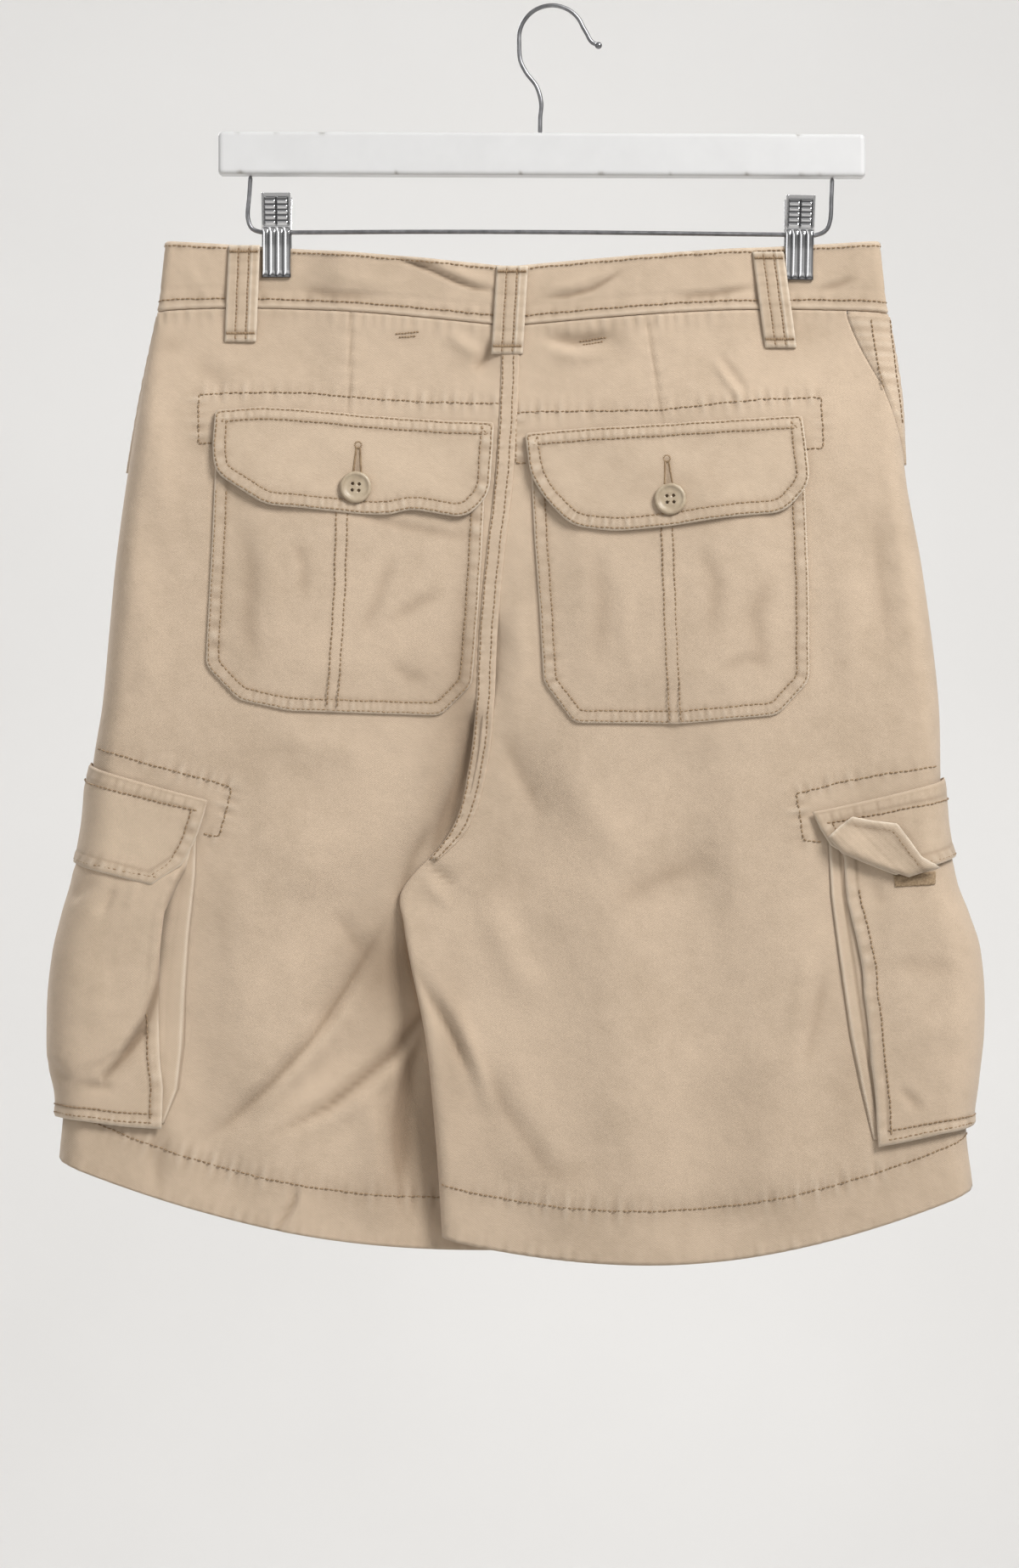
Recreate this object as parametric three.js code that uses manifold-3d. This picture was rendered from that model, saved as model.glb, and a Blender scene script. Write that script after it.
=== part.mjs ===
// Khaki cotton cargo shorts, clipped by the waistband to a wooden bar hanger.
// Millimetres, +Z up. The origin is the inside top of the hook's crown.
// The seat faces -Y, the fly faces +Y, and the wearer's left side is towards -X.
import * as THREE from "three";
import { mergeVertices } from "three/addons/utils/BufferGeometryUtils.js";
import Module from "manifold-3d";

const wasm = await Module();
wasm.setup();

// Driving dimensions: cloth and seams
const CLOTH = 1.5;
const BAND_CLOTH = 2.5;
const HEM_CLOTH = 2.7;
const SEAM_GAP = 0.3;
const LAY_GAP = 0.4;
const POCKET_CLOTH = 1.5;
const FLAP_CLOTH = 1.7;
const HEM_LINE = 0.948;
const BELLOWS_STAND = 2.2;
const BELLOWS_SWELL = 1.1;
const FACING_CLOTH = 1;
const FLY_CLOTH = 1.3;
const GRIP_CLOTH = 1.2;
const GRIP_GAP = 0.3;

// Driving dimensions: trim
const LOOP_WIDTH = 18.5;
const LOOP_CLOTH = 2.2;
const LOOP_STAND = 0.5;
const LOOP_ARCH = 0.8;
const BUTTON_RADIUS = 9.3;
const BUTTON_THICK = 3.2;
const BUTTON_HOLE = 1.15;
const BUTTON_HOLE_SPREAD = 1.9;
const FRONT_BUTTON_RADIUS = 8.5;
const BAND_LAP = 20;
const BUTTON_PAST_CENTRE = 6;
const FLY_WIDTH = 38;

// Driving dimensions: hanger
const BAR = { left: -196, right: 184, top: -74.5, tall: 25, deep: 13, edge: 1.6, tilt: 0.0042 };
const WIRE_RADIUS = 1.3;
const HOOK = { radius: 19.5, centreZ: -18.2, stemX: -7 };
const ROD_RADIUS = 1.3;
const CLIP = { width: 17, sheet: 1.1, flutes: 4, fluteRise: 0.9 };
const PINCH_X = { left: -162, right: 145.5 };
const PINCH_DEPTH = 2.75;
const PINCH_FLAT = 14;
const PINCH_FADE = 42;
const PINCH_AT_SEAM = 0.6;

// Sections from the waist seam, v 0, to the hem, v 1. out is the side edge, in is the centre
// seam or the inseam, depth and inDepth are half depths, lean is where the inseam lies in Y.
const SECTIONS = {
  left: [
    { v: 0, outX: -232, outZ: -179.8, inX: -25, inZ: -188.8, depth: 8, inDepth: 8, round: 7, lean: 0 },
    { v: 0.1, outX: -242.5, outZ: -230.8, inX: -26.5, inZ: -235.8, depth: 14, inDepth: 11, round: 11, lean: 0 },
    { v: 0.2, outX: -250.5, outZ: -280.8, inX: -29.5, inZ: -280.8, depth: 19, inDepth: 13, round: 14, lean: 0 },
    { v: 0.3, outX: -256.5, outZ: -325.8, inX: -34.5, inZ: -323.3, depth: 22, inDepth: 14, round: 15, lean: 0 },
    { v: 0.4, outX: -260.5, outZ: -368.3, inX: -38.5, inZ: -368.3, depth: 24, inDepth: 13, round: 16, lean: 0 },
    { v: 0.5, outX: -264.5, outZ: -410.8, inX: -40.5, inZ: -410.8, depth: 24, inDepth: 11, round: 16, lean: 0 },
    { v: 0.58, outX: -270, outZ: -445.8, inX: -45, inZ: -448.3, depth: 24, inDepth: 8, round: 16, lean: 0 },
    { v: 0.66, outX: -276.5, outZ: -483.3, inX: -56.5, inZ: -483.3, depth: 23, inDepth: 5, round: 16, lean: 0 },
    { v: 0.72, outX: -280.5, outZ: -513.3, inX: -88, inZ: -518.8, depth: 22, inDepth: 3, round: 16, lean: 1.8 },
    { v: 0.76, outX: -284.5, outZ: -535.3, inX: -85, inZ: -541, depth: 21.5, inDepth: 3, round: 16, lean: 5 },
    { v: 0.8, outX: -287, outZ: -557.3, inX: -82, inZ: -563.3, depth: 21, inDepth: 3.4, round: 16, lean: 7.5 },
    { v: 0.88, outX: -289.5, outZ: -600.8, inX: -65, inZ: -613.3, depth: 21, inDepth: 5.5, round: 16, lean: 11 },
    { v: 0.95, outX: -287.5, outZ: -645.8, inX: -35, inZ: -680.8, depth: 22, inDepth: 7, round: 16, lean: 13 },
    { v: 1, outX: -290, outZ: -676.3, inX: -5, inZ: -730.8, depth: 22, inDepth: 8, round: 16, lean: 13 },
  ],
  right: [
    { v: 0, outX: 197.5, outZ: -180.8, inX: -25, inZ: -188.8, depth: 8, inDepth: 8, round: 7, lean: 0 },
    { v: 0.1, outX: 205, outZ: -228.3, inX: -26.5, inZ: -235.8, depth: 14, inDepth: 11, round: 11, lean: 0 },
    { v: 0.2, outX: 208, outZ: -275.8, inX: -29.5, inZ: -280.8, depth: 19, inDepth: 13, round: 14, lean: 0 },
    { v: 0.3, outX: 216.5, outZ: -323.3, inX: -34.5, inZ: -323.3, depth: 22, inDepth: 14, round: 15, lean: 0 },
    { v: 0.4, outX: 223, outZ: -368.3, inX: -38.5, inZ: -368.3, depth: 24, inDepth: 13, round: 16, lean: 0 },
    { v: 0.5, outX: 227.5, outZ: -410.8, inX: -40.5, inZ: -410.8, depth: 25, inDepth: 11, round: 16, lean: 0 },
    { v: 0.58, outX: 228.5, outZ: -448.3, inX: -45, inZ: -448.3, depth: 25, inDepth: 8, round: 16, lean: 0 },
    { v: 0.66, outX: 231, outZ: -483.3, inX: -56.5, inZ: -483.3, depth: 25, inDepth: 5, round: 16, lean: 0 },
    { v: 0.72, outX: 237, outZ: -515.8, inX: -87, inZ: -518.8, depth: 24, inDepth: 3, round: 16, lean: -1.8 },
    { v: 0.76, outX: 242, outZ: -535.8, inX: -87, inZ: -540, depth: 23.5, inDepth: 3, round: 16, lean: -5 },
    { v: 0.8, outX: 246.5, outZ: -555.8, inX: -83.5, inZ: -560.8, depth: 23, inDepth: 3.4, round: 16, lean: -7.5 },
    { v: 0.88, outX: 248.5, outZ: -603.3, inX: -74, inZ: -608.3, depth: 23, inDepth: 5.5, round: 16, lean: -11 },
    { v: 0.95, outX: 243.5, outZ: -655.8, inX: -68, inZ: -668.3, depth: 24, inDepth: 7, round: 16, lean: -13 },
    { v: 1, outX: 247.5, outZ: -692.8, inX: -64.5, inZ: -721.8, depth: 24, inDepth: 8, round: 16, lean: -13 },
  ],
};
const SEAT_RISE = 5;
const HEM_DROP = { left: 17, right: 28 };
const CROTCH = { opens: 0.65, closed: 0.72 };
const SIDE_SHARE = 0.12;
const INSEAM_SHARE = 0.04;
const SEAM_TUCK = 8;
const BAND_ROUND = 6;
const BAND_DEPTH = { side: 4.6, middle: 8.5 };

// The waistband's upper edge
const BAND_TOP = {
  left: { outX: -227.5, outZ: -137.8 },
  right: { outX: 193, outZ: -137.8 },
  centreX: -25,
  centreZ: -153.3,
  rise: 1.5,
};

// The right side seam is turned towards the seat near the waist, so the hip facing shows there.
const SEAM_TURN = { left: 0, right: 0.19 };
const SEAM_TURN_END = 0.19;

// Folds: a soft trough (depth under 0) or ridge from one point to another, in X and Z
const FOLDS = [
  { half: "left", side: -1, x0: -45, z0: -424, x1: -62, z1: -490, width: 9, depth: -5 },
  { half: "left", side: -1, x0: -41, z0: -197, x1: -38, z1: -212, width: 8, depth: -2.5 },
  { half: "left", side: -1, x0: -92, z0: -541, x1: -135, z1: -590, width: 11, depth: -4 },
  { half: "left", side: -1, x0: -80, z0: -596, x1: -175, z1: -651, width: 13, depth: -4 },
  { half: "left", side: -1, x0: -108, z0: -646, x1: -104, z1: -705, width: 11, depth: 3 },
  { half: "left", side: -1, x0: -150, z0: -500, x1: -170, z1: -640, width: 24, depth: 3.5 },
  { half: "left", side: -1, x0: -215, z0: -600, x1: -190, z1: -690, width: 18, depth: -3 },
  { half: "right", side: -1, x0: -74, z0: -506, x1: -52, z1: -530, width: 9, depth: -3.5 },
  { half: "right", side: -1, x0: -68, z0: -595, x1: -42, z1: -651, width: 10, depth: -3.5 },
  { half: "right", side: -1, x0: -50, z0: -606, x1: 8, z1: -700, width: 17, depth: 3 },
  { half: "right", side: -1, x0: -4, z0: -192, x1: 34, z1: -200, width: 8, depth: -2.5 },
  { half: "right", side: -1, x0: 20, z0: -450, x1: 38, z1: -640, width: 26, depth: 3.5 },
  { half: "right", side: -1, x0: 80, z0: -450, x1: 86, z1: -700, width: 24, depth: -4 },
  { half: "right", side: -1, x0: 142, z0: -470, x1: 132, z1: -680, width: 24, depth: 3 },
  { half: "left", side: 1, x0: -70, z0: -470, x1: -150, z1: -440, width: 14, depth: -4 },
  { half: "left", side: 1, x0: -90, z0: -520, x1: -160, z1: -690, width: 22, depth: -4 },
  { half: "left", side: 1, x0: -205, z0: -300, x1: -190, z1: -470, width: 24, depth: 3 },
  { half: "right", side: 1, x0: -40, z0: -478, x1: 60, z1: -440, width: 14, depth: -4 },
  { half: "right", side: 1, x0: -30, z0: -540, x1: 40, z1: -700, width: 24, depth: -4 },
  { half: "right", side: 1, x0: 120, z0: -330, x1: 110, z1: -640, width: 30, depth: 3.5 },
];

// Where the panels' points lie: shares of the way from the side seam to the inner edge, and v
const ACROSS = [
  0, 0.03, 0.06, 0.09, 0.12, 0.2, 0.29, 0.38, 0.47, 0.56, 0.65, 0.74, 0.83, 0.91, 0.96, 0.98, 1,
];
const HEM_STEP = 0.004;
const DOWN = [
  0, 0.05, 0.09, 0.13, 0.165, 0.23, 0.3, 0.37, 0.44, 0.51, 0.56, 0.6, 0.64, 0.68, 0.72, 0.78, 0.84, 0.9,
  HEM_LINE - HEM_STEP, HEM_LINE + HEM_STEP, 1,
];
const BAND_DOWN = [0, 0.4, 0.7, 1];

// Outlines on the seat, in X and Z
const BACK_POCKETS = {
  left: [
    [-196.5, -262], [-198.5, -317], [-202, -388], [-183, -408], [-153.5, -414.5], [-119.5, -415.5],
    [-65.5, -417], [-47, -399], [-43.5, -357], [-41, -317], [-38.5, -262],
  ],
  right: [
    [-13, -262], [-10.5, -312], [-7.5, -353.5], [-5, -397.5], [13, -421.5], [74.5, -422], [131, -417],
    [149.5, -397], [149.5, -344], [147.5, -289], [147, -262],
  ],
};
const BACK_FLAPS = {
  left: [
    [-197, -239], [-168.5, -237], [-138, -239], [-105.5, -242], [-64, -244.5], [-34, -245.5], [-36.8, -288],
    [-50.5, -302], [-83.5, -297], [-95.5, -300.5], [-112, -300], [-146.5, -296.5], [-167.5, -295],
    [-196.5, -276], [-198.5, -262],
  ],
  right: [
    [-16, -252], [20, -249], [61, -247], [102, -244.5], [146, -242], [150.5, -281.5], [135.5, -299],
    [102, -302], [66.5, -307.5], [36.5, -310], [11, -306.5], [-5.5, -289], [-13, -276],
  ],
};
const BACK_BUTTONS = { left: { x: -115, z: -284.5 }, right: { x: 69, z: -291.5 } };

// The cargo pockets wrap round the side seam. side is Z at the side edge, and x and z are where the
// row ends on the seat side. The front end of each row lies as far round on the fly side.
const CARGO_BAGS = {
  left: [
    { side: -458, x: -208, z: -478 }, { side: -500, x: -214, z: -507.5 }, { side: -530, x: -225.5, z: -531 },
    { side: -566, x: -229, z: -566 }, { side: -600, x: -230, z: -601.5 }, { side: -630, x: -227.5, z: -633.5 },
    { side: -652.8, x: -228, z: -658 },
  ],
  right: [
    { side: -463, x: 164, z: -481 }, { side: -500, x: 169.5, z: -501 }, { side: -527, x: 173, z: -531.5 },
    { side: -570, x: 181, z: -579.5 }, { side: -613, x: 185, z: -619.5 }, { side: -640, x: 188, z: -645 },
    { side: -657, x: 189.5, z: -668 },
  ],
};
const CARGO_GUSSETS = {
  left: [
    { outX: -207, inX: -222, z: -482 }, { outX: -208, inX: -226, z: -510 }, { outX: -212, inX: -234, z: -545 },
    { outX: -214, inX: -240, z: -580 }, { outX: -215, inX: -240, z: -610 }, { outX: -218, inX: -238, z: -635 },
    { outX: -226.5, inX: -238, z: -655 },
  ],
  right: [
    { outX: 160, inX: 176, z: -490 }, { outX: 162, inX: 180, z: -522 }, { outX: 167, inX: 187, z: -560 },
    { outX: 173, inX: 192, z: -604 }, { outX: 179, inX: 195, z: -633 }, { outX: 186.5, inX: 198, z: -664 },
  ],
};
const CARGO_FLAPS = {
  left: [
    { side: -444.5, x: -200.5, z: -466.3 }, { side: -462, x: -204, z: -479 }, { side: -482, x: -208, z: -490 },
    { side: -497, x: -215.5, z: -504 }, { side: -503.5, x: -233, z: -515.5 },
  ],
  right: [
    { side: -453, x: 150.5, z: -473.3 }, { side: -470, x: 155, z: -483 }, { side: -484, x: 161, z: -492.5 },
    { side: -495, x: 172, z: -499 }, { side: -499.8, x: 199, z: -509.5 },
  ],
};
const GRIP_PATCH = { left: 203, right: 226, top: -510.5, bottom: -517 };

const BELT_LOOPS = [
  { name: "belt_loop_back_left", side: -1, topX: -180.8, topZ: -140.5, lowX: -183, lowZ: -197.5 },
  { name: "belt_loop_back_centre", side: -1, topX: -23.3, topZ: -153.2, lowX: -26.5, lowZ: -205 },
  { name: "belt_loop_back_right", side: -1, topX: 126.8, topZ: -144.5, lowX: 134.3, lowZ: -201 },
  { name: "belt_loop_front_left", side: 1, topX: -118, topZ: -145, lowX: -119, lowZ: -201 },
  { name: "belt_loop_front_right", side: 1, topX: 84, topZ: -147, lowX: 85, lowZ: -203 },
];

// Colours
const KHAKI = 0xc0a583;
const KHAKI_EDGE = 0xcdb595;
const HORN = 0xbdad93;
const PAINTED_WOOD = 0xeeedec;
const CHROME = 0xc9ccd0;

const clamp = (value, low, high) => Math.min(Math.max(value, low), high);
const lerp = (a, b, t) => a + (b - a) * t;

function smoothstep(low, high, value) {
  const t = clamp((value - low) / (high - low), 0, 1);
  return t * t * (3 - 2 * t);
}

// A column of a section table at v, as a smooth curve through its rows
function column(rows, key, v) {
  let i = 0;
  while (i < rows.length - 2 && v > rows[i + 1].v) i += 1;
  const slopeAt = (row) => {
    const before = rows[Math.max(row - 1, 0)];
    const after = rows[Math.min(row + 1, rows.length - 1)];
    return (after[key] - before[key]) / (after.v - before.v);
  };
  const span = rows[i + 1].v - rows[i].v;
  const t = (v - rows[i].v) / span;
  const start = rows[i][key];
  const end = rows[i + 1][key];
  const a = slopeAt(i) * span;
  const b = slopeAt(i + 1) * span;
  return start + t * (a + t * (3 * (end - start) - 2 * a - b + t * (a + b - 2 * (end - start))));
}

// Half depth of the waistband. h runs from its lower edge, 0, to its upper edge, 1.
function bandDepth(half, share, x, h) {
  const open = lerp(BAND_DEPTH.side, BAND_DEPTH.middle, smoothstep(0.1, 0.6, share));
  const near = smoothstep(PINCH_FADE, PINCH_FLAT, Math.abs(x - PINCH_X[half]));
  return lerp(open, PINCH_DEPTH, near * lerp(PINCH_AT_SEAM, 1, smoothstep(0, 0.38, h)));
}

// How far the folds lift or sink the cloth at a place
function foldRise(half, side, x, z) {
  let rise = 0;
  for (const fold of FOLDS) {
    if (fold.half !== half || fold.side !== side) continue;
    const dx = fold.x1 - fold.x0;
    const dz = fold.z1 - fold.z0;
    const long = dx * dx + dz * dz;
    const along = ((x - fold.x0) * dx + (z - fold.z0) * dz) / long;
    const nearest = clamp(along, 0, 1);
    const gap = Math.hypot(x - fold.x0 - nearest * dx, z - fold.z0 - nearest * dz);
    rise += fold.depth * Math.exp(-((gap / fold.width) ** 2));
  }
  return rise;
}

// Where a point lies across a half: q runs from -1 at the seat's centre, over 0 at the side edge,
// to 1 at the fly side's centre. It gives the distance from the side edge and the share of depth.
function acrossHalf(q, reach, round, tuck, closing) {
  const u = Math.abs(q);
  if (u < SIDE_SHARE) {
    const turn = ((u / SIDE_SHARE) * Math.PI) / 2;
    return { across: round * (1 - Math.cos(turn)), swell: Math.sin(turn) };
  }
  if (u < 1 - INSEAM_SHARE) {
    const t = (u - SIDE_SHARE) / (1 - INSEAM_SHARE - SIDE_SHARE);
    return { across: lerp(round, reach - tuck, t), swell: 1 };
  }
  const t = (u - 1 + INSEAM_SHARE) / INSEAM_SHARE;
  const turn = ((1 - t) * Math.PI) / 2;
  return {
    across: reach - tuck + tuck * lerp(t, Math.cos(turn), closing),
    swell: lerp(1, Math.sin(turn), closing),
  };
}

// A point of the shorts' outer surface below the waist seam
function bodyPoint(half, q, v) {
  const rows = SECTIONS[half];
  const outward = half === "left" ? -1 : 1;
  const side = q < 0 ? -1 : 1;
  const outX = column(rows, "outX", v);
  const reach = Math.abs(column(rows, "inX", v) - outX);
  const closing = smoothstep(CROTCH.opens, CROTCH.closed, v);
  const tuck = lerp(SEAM_TUCK, 2 + column(rows, "inDepth", v), closing);
  const { across, swell } = acrossHalf(q, reach, column(rows, "round", v), tuck, closing);
  const share = across / reach;
  const x = outX - outward * across;
  const rise = SEAT_RISE * Math.sin(Math.PI * share ** 0.8);
  const drop = HEM_DROP[half] * Math.max(Math.sin(Math.PI * share), 0) ** 0.85;
  const z = lerp(column(rows, "outZ", v), column(rows, "inZ", v), share) + lerp(rise, -drop, v);
  const full = lerp(column(rows, "depth", v), column(rows, "inDepth", v), smoothstep(0.45, 1, share));
  const depth = lerp(bandDepth(half, share, x, 0), full, smoothstep(0, 0.14, v));
  const lean = column(rows, "lean", v) * share ** 1.5;
  const fold = foldRise(half, side, x, z) * swell * smoothstep(0, 0.05, v) * smoothstep(2, 14, depth);
  return new THREE.Vector3(x, lean + side * (depth * swell + fold), z);
}

// A point of the waistband's outer surface. Past q 1 the left half laps over the right one.
function bandPoint(half, q, h) {
  const rows = SECTIONS[half];
  const top = BAND_TOP[half];
  const outward = half === "left" ? -1 : 1;
  const side = q < 0 ? -1 : 1;
  const outX = lerp(rows[0].outX, top.outX, h);
  const inX = lerp(rows[0].inX, BAND_TOP.centreX, h);
  const reach = Math.abs(inX - outX);
  const { across, swell } = acrossHalf(clamp(q, -1, 1), reach, BAND_ROUND, SEAM_TUCK, 0);
  const lap = Math.max(q - 1, 0) * reach;
  const share = across / reach;
  const x = outX - outward * (across + lap);
  const low = lerp(rows[0].outZ, rows[0].inZ, share) + SEAT_RISE * Math.sin(Math.PI * share ** 0.8);
  const high = lerp(top.outZ, BAND_TOP.centreZ, share) + BAND_TOP.rise * Math.sin(Math.PI * share);
  const lift = lap > 0 || (half === "left" && q > 0) ? lapLift(reach * (1 - share) - lap) : 0;
  const depth = bandDepth(half, share, x, h) + lift;
  return new THREE.Vector3(x, side * depth * swell, lerp(low + SEAM_GAP, high, h));
}

// The left band climbs over the right one just before the fly's centre.
function lapLift(before) {
  return (BAND_CLOTH + LAY_GAP) * smoothstep(18, 3, before);
}

// A surface moved out along its normal
function movedOut(pointAt, half, q, v, out) {
  const step = 1e-4;
  const point = pointAt(half, q, v);
  const alongQ = pointAt(half, q + step, v).sub(pointAt(half, q - step, v));
  const alongV = pointAt(half, q, v + step).sub(pointAt(half, q, v - step));
  const normal = alongQ.cross(alongV).normalize();
  const outward = pointAt === bandPoint ? -1 : 1;
  return point.addScaledVector(normal, out * outward * (half === "left" ? 1 : -1));
}

// The q and v of the surface point that lies at x and z, on the seat side (-1) or fly side (1)
function locate(pointAt, half, side, x, z) {
  let u = 0.5;
  let v = 0.5;
  const step = 1e-4;
  for (let turn = 0; turn < 25; turn += 1) {
    const at = pointAt(half, side * u, v);
    const byU = pointAt(half, side * (u + step), v).sub(at).divideScalar(step);
    const byV = pointAt(half, side * u, v + step).sub(at).divideScalar(step);
    const det = byU.x * byV.z - byV.x * byU.z;
    const missX = x - at.x;
    const missZ = z - at.z;
    u = clamp(u + clamp((missX * byV.z - missZ * byV.x) / det, -0.2, 0.2), 0.005, 0.999);
    v = clamp(v + clamp((missZ * byU.x - missX * byU.z) / det, -0.2, 0.2), 0, 1);
  }
  return { q: side * u, v };
}

// The v of the side edge at a height
function sideEdge(half, z) {
  let low = 0;
  let high = 1;
  for (let turn = 0; turn < 30; turn += 1) {
    const middle = (low + high) / 2;
    if (column(SECTIONS[half], "outZ", middle) > z) low = middle;
    else high = middle;
  }
  return low;
}

// A closed wall between two grids of points, upper and lower, of the same size
function wall(upper, lower) {
  const rows = upper.length;
  const columns = upper[0].length;
  const points = [...upper.flat(), ...lower.flat()];
  const index = [];
  const base = rows * columns;
  const quad = (a, b, c, d) => index.push(a, b, c, a, c, d);
  for (let j = 0; j < rows - 1; j += 1) {
    for (let i = 0; i < columns - 1; i += 1) {
      const a = j * columns + i;
      quad(a, a + 1, a + columns + 1, a + columns);
      quad(base + a, base + a + columns, base + a + columns + 1, base + a + 1);
    }
  }
  const rim = [];
  for (let i = 0; i < columns - 1; i += 1) rim.push(i);
  for (let j = 0; j < rows - 1; j += 1) rim.push(j * columns + columns - 1);
  for (let i = columns - 1; i > 0; i -= 1) rim.push((rows - 1) * columns + i);
  for (let j = rows - 1; j > 0; j -= 1) rim.push(j * columns);
  rim.forEach((a, k) => {
    const b = rim[(k + 1) % rim.length];
    quad(a, base + a, base + b, b);
  });
  const geometry = new THREE.BufferGeometry().setFromPoints(points);
  geometry.setIndex(index);
  return facingOut(geometry);
}

// Turns a closed geometry's faces outwards
function facingOut(geometry) {
  const at = geometry.attributes.position;
  const index = geometry.index.array;
  const a = new THREE.Vector3();
  const b = new THREE.Vector3();
  const c = new THREE.Vector3();
  let volume = 0;
  for (let i = 0; i < index.length; i += 3) {
    a.fromBufferAttribute(at, index[i]);
    b.fromBufferAttribute(at, index[i + 1]);
    c.fromBufferAttribute(at, index[i + 2]);
    volume += a.dot(b.cross(c));
  }
  if (volume < 0) {
    for (let i = 0; i < index.length; i += 3) [index[i], index[i + 1]] = [index[i + 1], index[i]];
  }
  return geometry;
}

function solidOf(geometry) {
  const bare = geometry.clone();
  bare.deleteAttribute("normal");
  bare.deleteAttribute("uv");
  const merged = mergeVertices(bare, 1e-4);
  return new wasm.Manifold(
    new wasm.Mesh({
      numProp: 3,
      vertProperties: new Float32Array(merged.attributes.position.array),
      triVerts: new Uint32Array(merged.index.array),
    }),
  );
}

function geometryOf(solid) {
  const mesh = solid.getMesh();
  const geometry = new THREE.BufferGeometry();
  geometry.setAttribute("position", new THREE.BufferAttribute(new Float32Array(mesh.vertProperties), 3));
  geometry.setIndex(new THREE.BufferAttribute(new Uint32Array(mesh.triVerts), 1));
  return geometry;
}

// The largest piece of a solid, free of slivers that a cut leaves
function mainPiece(solid) {
  return solid.decompose().reduce((most, piece) => (piece.volume() > most.volume() ? piece : most));
}

// The side seam's q at a height, for one half
const seamTurn = (half, v) => -SEAM_TURN[half] * (1 - smoothstep(0, 1, v / SEAM_TURN_END));

// How much q half of the seam gap takes at a place
function trim(pointAt, half, q, v) {
  const step = 1e-3;
  const towards = q > 0.5 ? -step : step;
  return ((SEAM_GAP / 2) * step) / pointAt(half, q, v).distanceTo(pointAt(half, q + towards, v));
}

// The q and v of each point of a panel: side -1 is the back panel and 1 the front panel
function panelGrid(half, side) {
  return DOWN.map((v) => {
    const seam = seamTurn(half, v);
    const start = seam + side * trim(bodyPoint, half, seam, v);
    const end = side * (1 - trim(bodyPoint, half, side, v));
    return ACROSS.map((share) => ({ q: lerp(start, end, share), v }));
  });
}

// A wall over a grid of q and v, between two distances from the surface
function layer(pointAt, half, grid, lowerAt, upperAt) {
  const lifted = (p, outAt) => movedOut(pointAt, half, p.q, p.v, outAt(p.q, p.v));
  const surface = (outAt) => grid.map((row) => row.map((p) => lifted(p, outAt)));
  return wall(surface(upperAt), surface(lowerAt));
}

function panel(half, side) {
  const inside = (q, v) => -(v > HEM_LINE ? HEM_CLOTH : CLOTH);
  return layer(bodyPoint, half, panelGrid(half, side), inside, () => 0);
}

const bandReach = (half) => Math.abs(BAND_TOP.centreX - SECTIONS[half][0].outX);

function waistband(half) {
  const shares = ACROSS.map((share) => share * (1 - trim(bandPoint, half, 1, 0.5)));
  const back = shares.map((share) => -share).reverse();
  const lap = BAND_LAP / bandReach(half);
  const lapped = half === "left" ? [1, 1 + lap / 2, 1 + lap] : [];
  const across = [...back.slice(0, -1), ...shares, ...lapped];
  const grid = BAND_DOWN.map((h) => across.map((q) => ({ q, v: h })));
  return layer(bandPoint, half, grid, () => -BAND_CLOTH, () => 0);
}

const CUTTER_DEEP = 70;

// A straight cutter through the cloth, of an outline in X and Z
function cutter(outline, side) {
  const shape = new THREE.Shape(outline.map(([x, z]) => new THREE.Vector2(x, z)));
  const geometry = new THREE.ExtrudeGeometry(shape, { depth: CUTTER_DEEP, bevelEnabled: false });
  geometry.rotateX(Math.PI / 2);
  if (side > 0) geometry.translate(0, CUTTER_DEEP, 0);
  return solidOf(geometry);
}

// What lies on a panel: a layer of its points moved out, cut to an outline
function patch(half, side, outline, lowerAt, upperAt) {
  const whole = solidOf(layer(bodyPoint, half, panelGrid(half, side), lowerAt, upperAt));
  return geometryOf(mainPiece(whole.intersect(cutter(outline, side))));
}

const pocketLower = () => LAY_GAP;
const pocketUpper = () => LAY_GAP + POCKET_CLOTH;
// The back flaps lie on the panel above the pocket's mouth and on the pocket below it.
const POCKET_MOUTH = 0.15;
const backFlapLower = (q, v) => (v > POCKET_MOUTH ? pocketUpper() + LAY_GAP : LAY_GAP);
const backFlapUpper = (q, v) => backFlapLower(q, v) + FLAP_CLOTH;

// Distances of the cargo bag and flap from the leg, which the bag leaves below its mouth
const FLAP_SEAM = 0.58;
const BAG_MOUTH = 0.6;
const BAG_FULL = 0.68;
const bagLower = (q, v) => {
  const middle = Math.cos(clamp(q / 0.4, -1, 1) * (Math.PI / 2));
  return lerp(LAY_GAP, BELLOWS_STAND + BELLOWS_SWELL * middle, smoothstep(BAG_MOUTH, BAG_FULL, v));
};
const bagUpper = (q, v) => bagLower(q, v) + POCKET_CLOTH;
const cargoFlapLower = (q, v) => (v < FLAP_SEAM ? LAY_GAP : bagUpper(q, v) + LAY_GAP);
const cargoFlapUpper = (q, v) => cargoFlapLower(q, v) + FLAP_CLOTH;

// The panels' points on both sides of the side seam, for what wraps round it
function sideGrid() {
  const shares = ACROSS.filter((share) => share < 0.6);
  const across = [...shares.slice(1).map((share) => -share).reverse(), ...shares];
  return DOWN.filter((v) => v >= 0.5).map((v) => across.map((q) => ({ q, v })));
}

const CUTTER_UNDER = 1;
const CUTTER_OVER = 12;

// A cutter square to the cloth, from rows of q and v
function clothCutter(half, grid) {
  return solidOf(layer(bodyPoint, half, grid, () => -CUTTER_UNDER, () => CUTTER_OVER));
}

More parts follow.
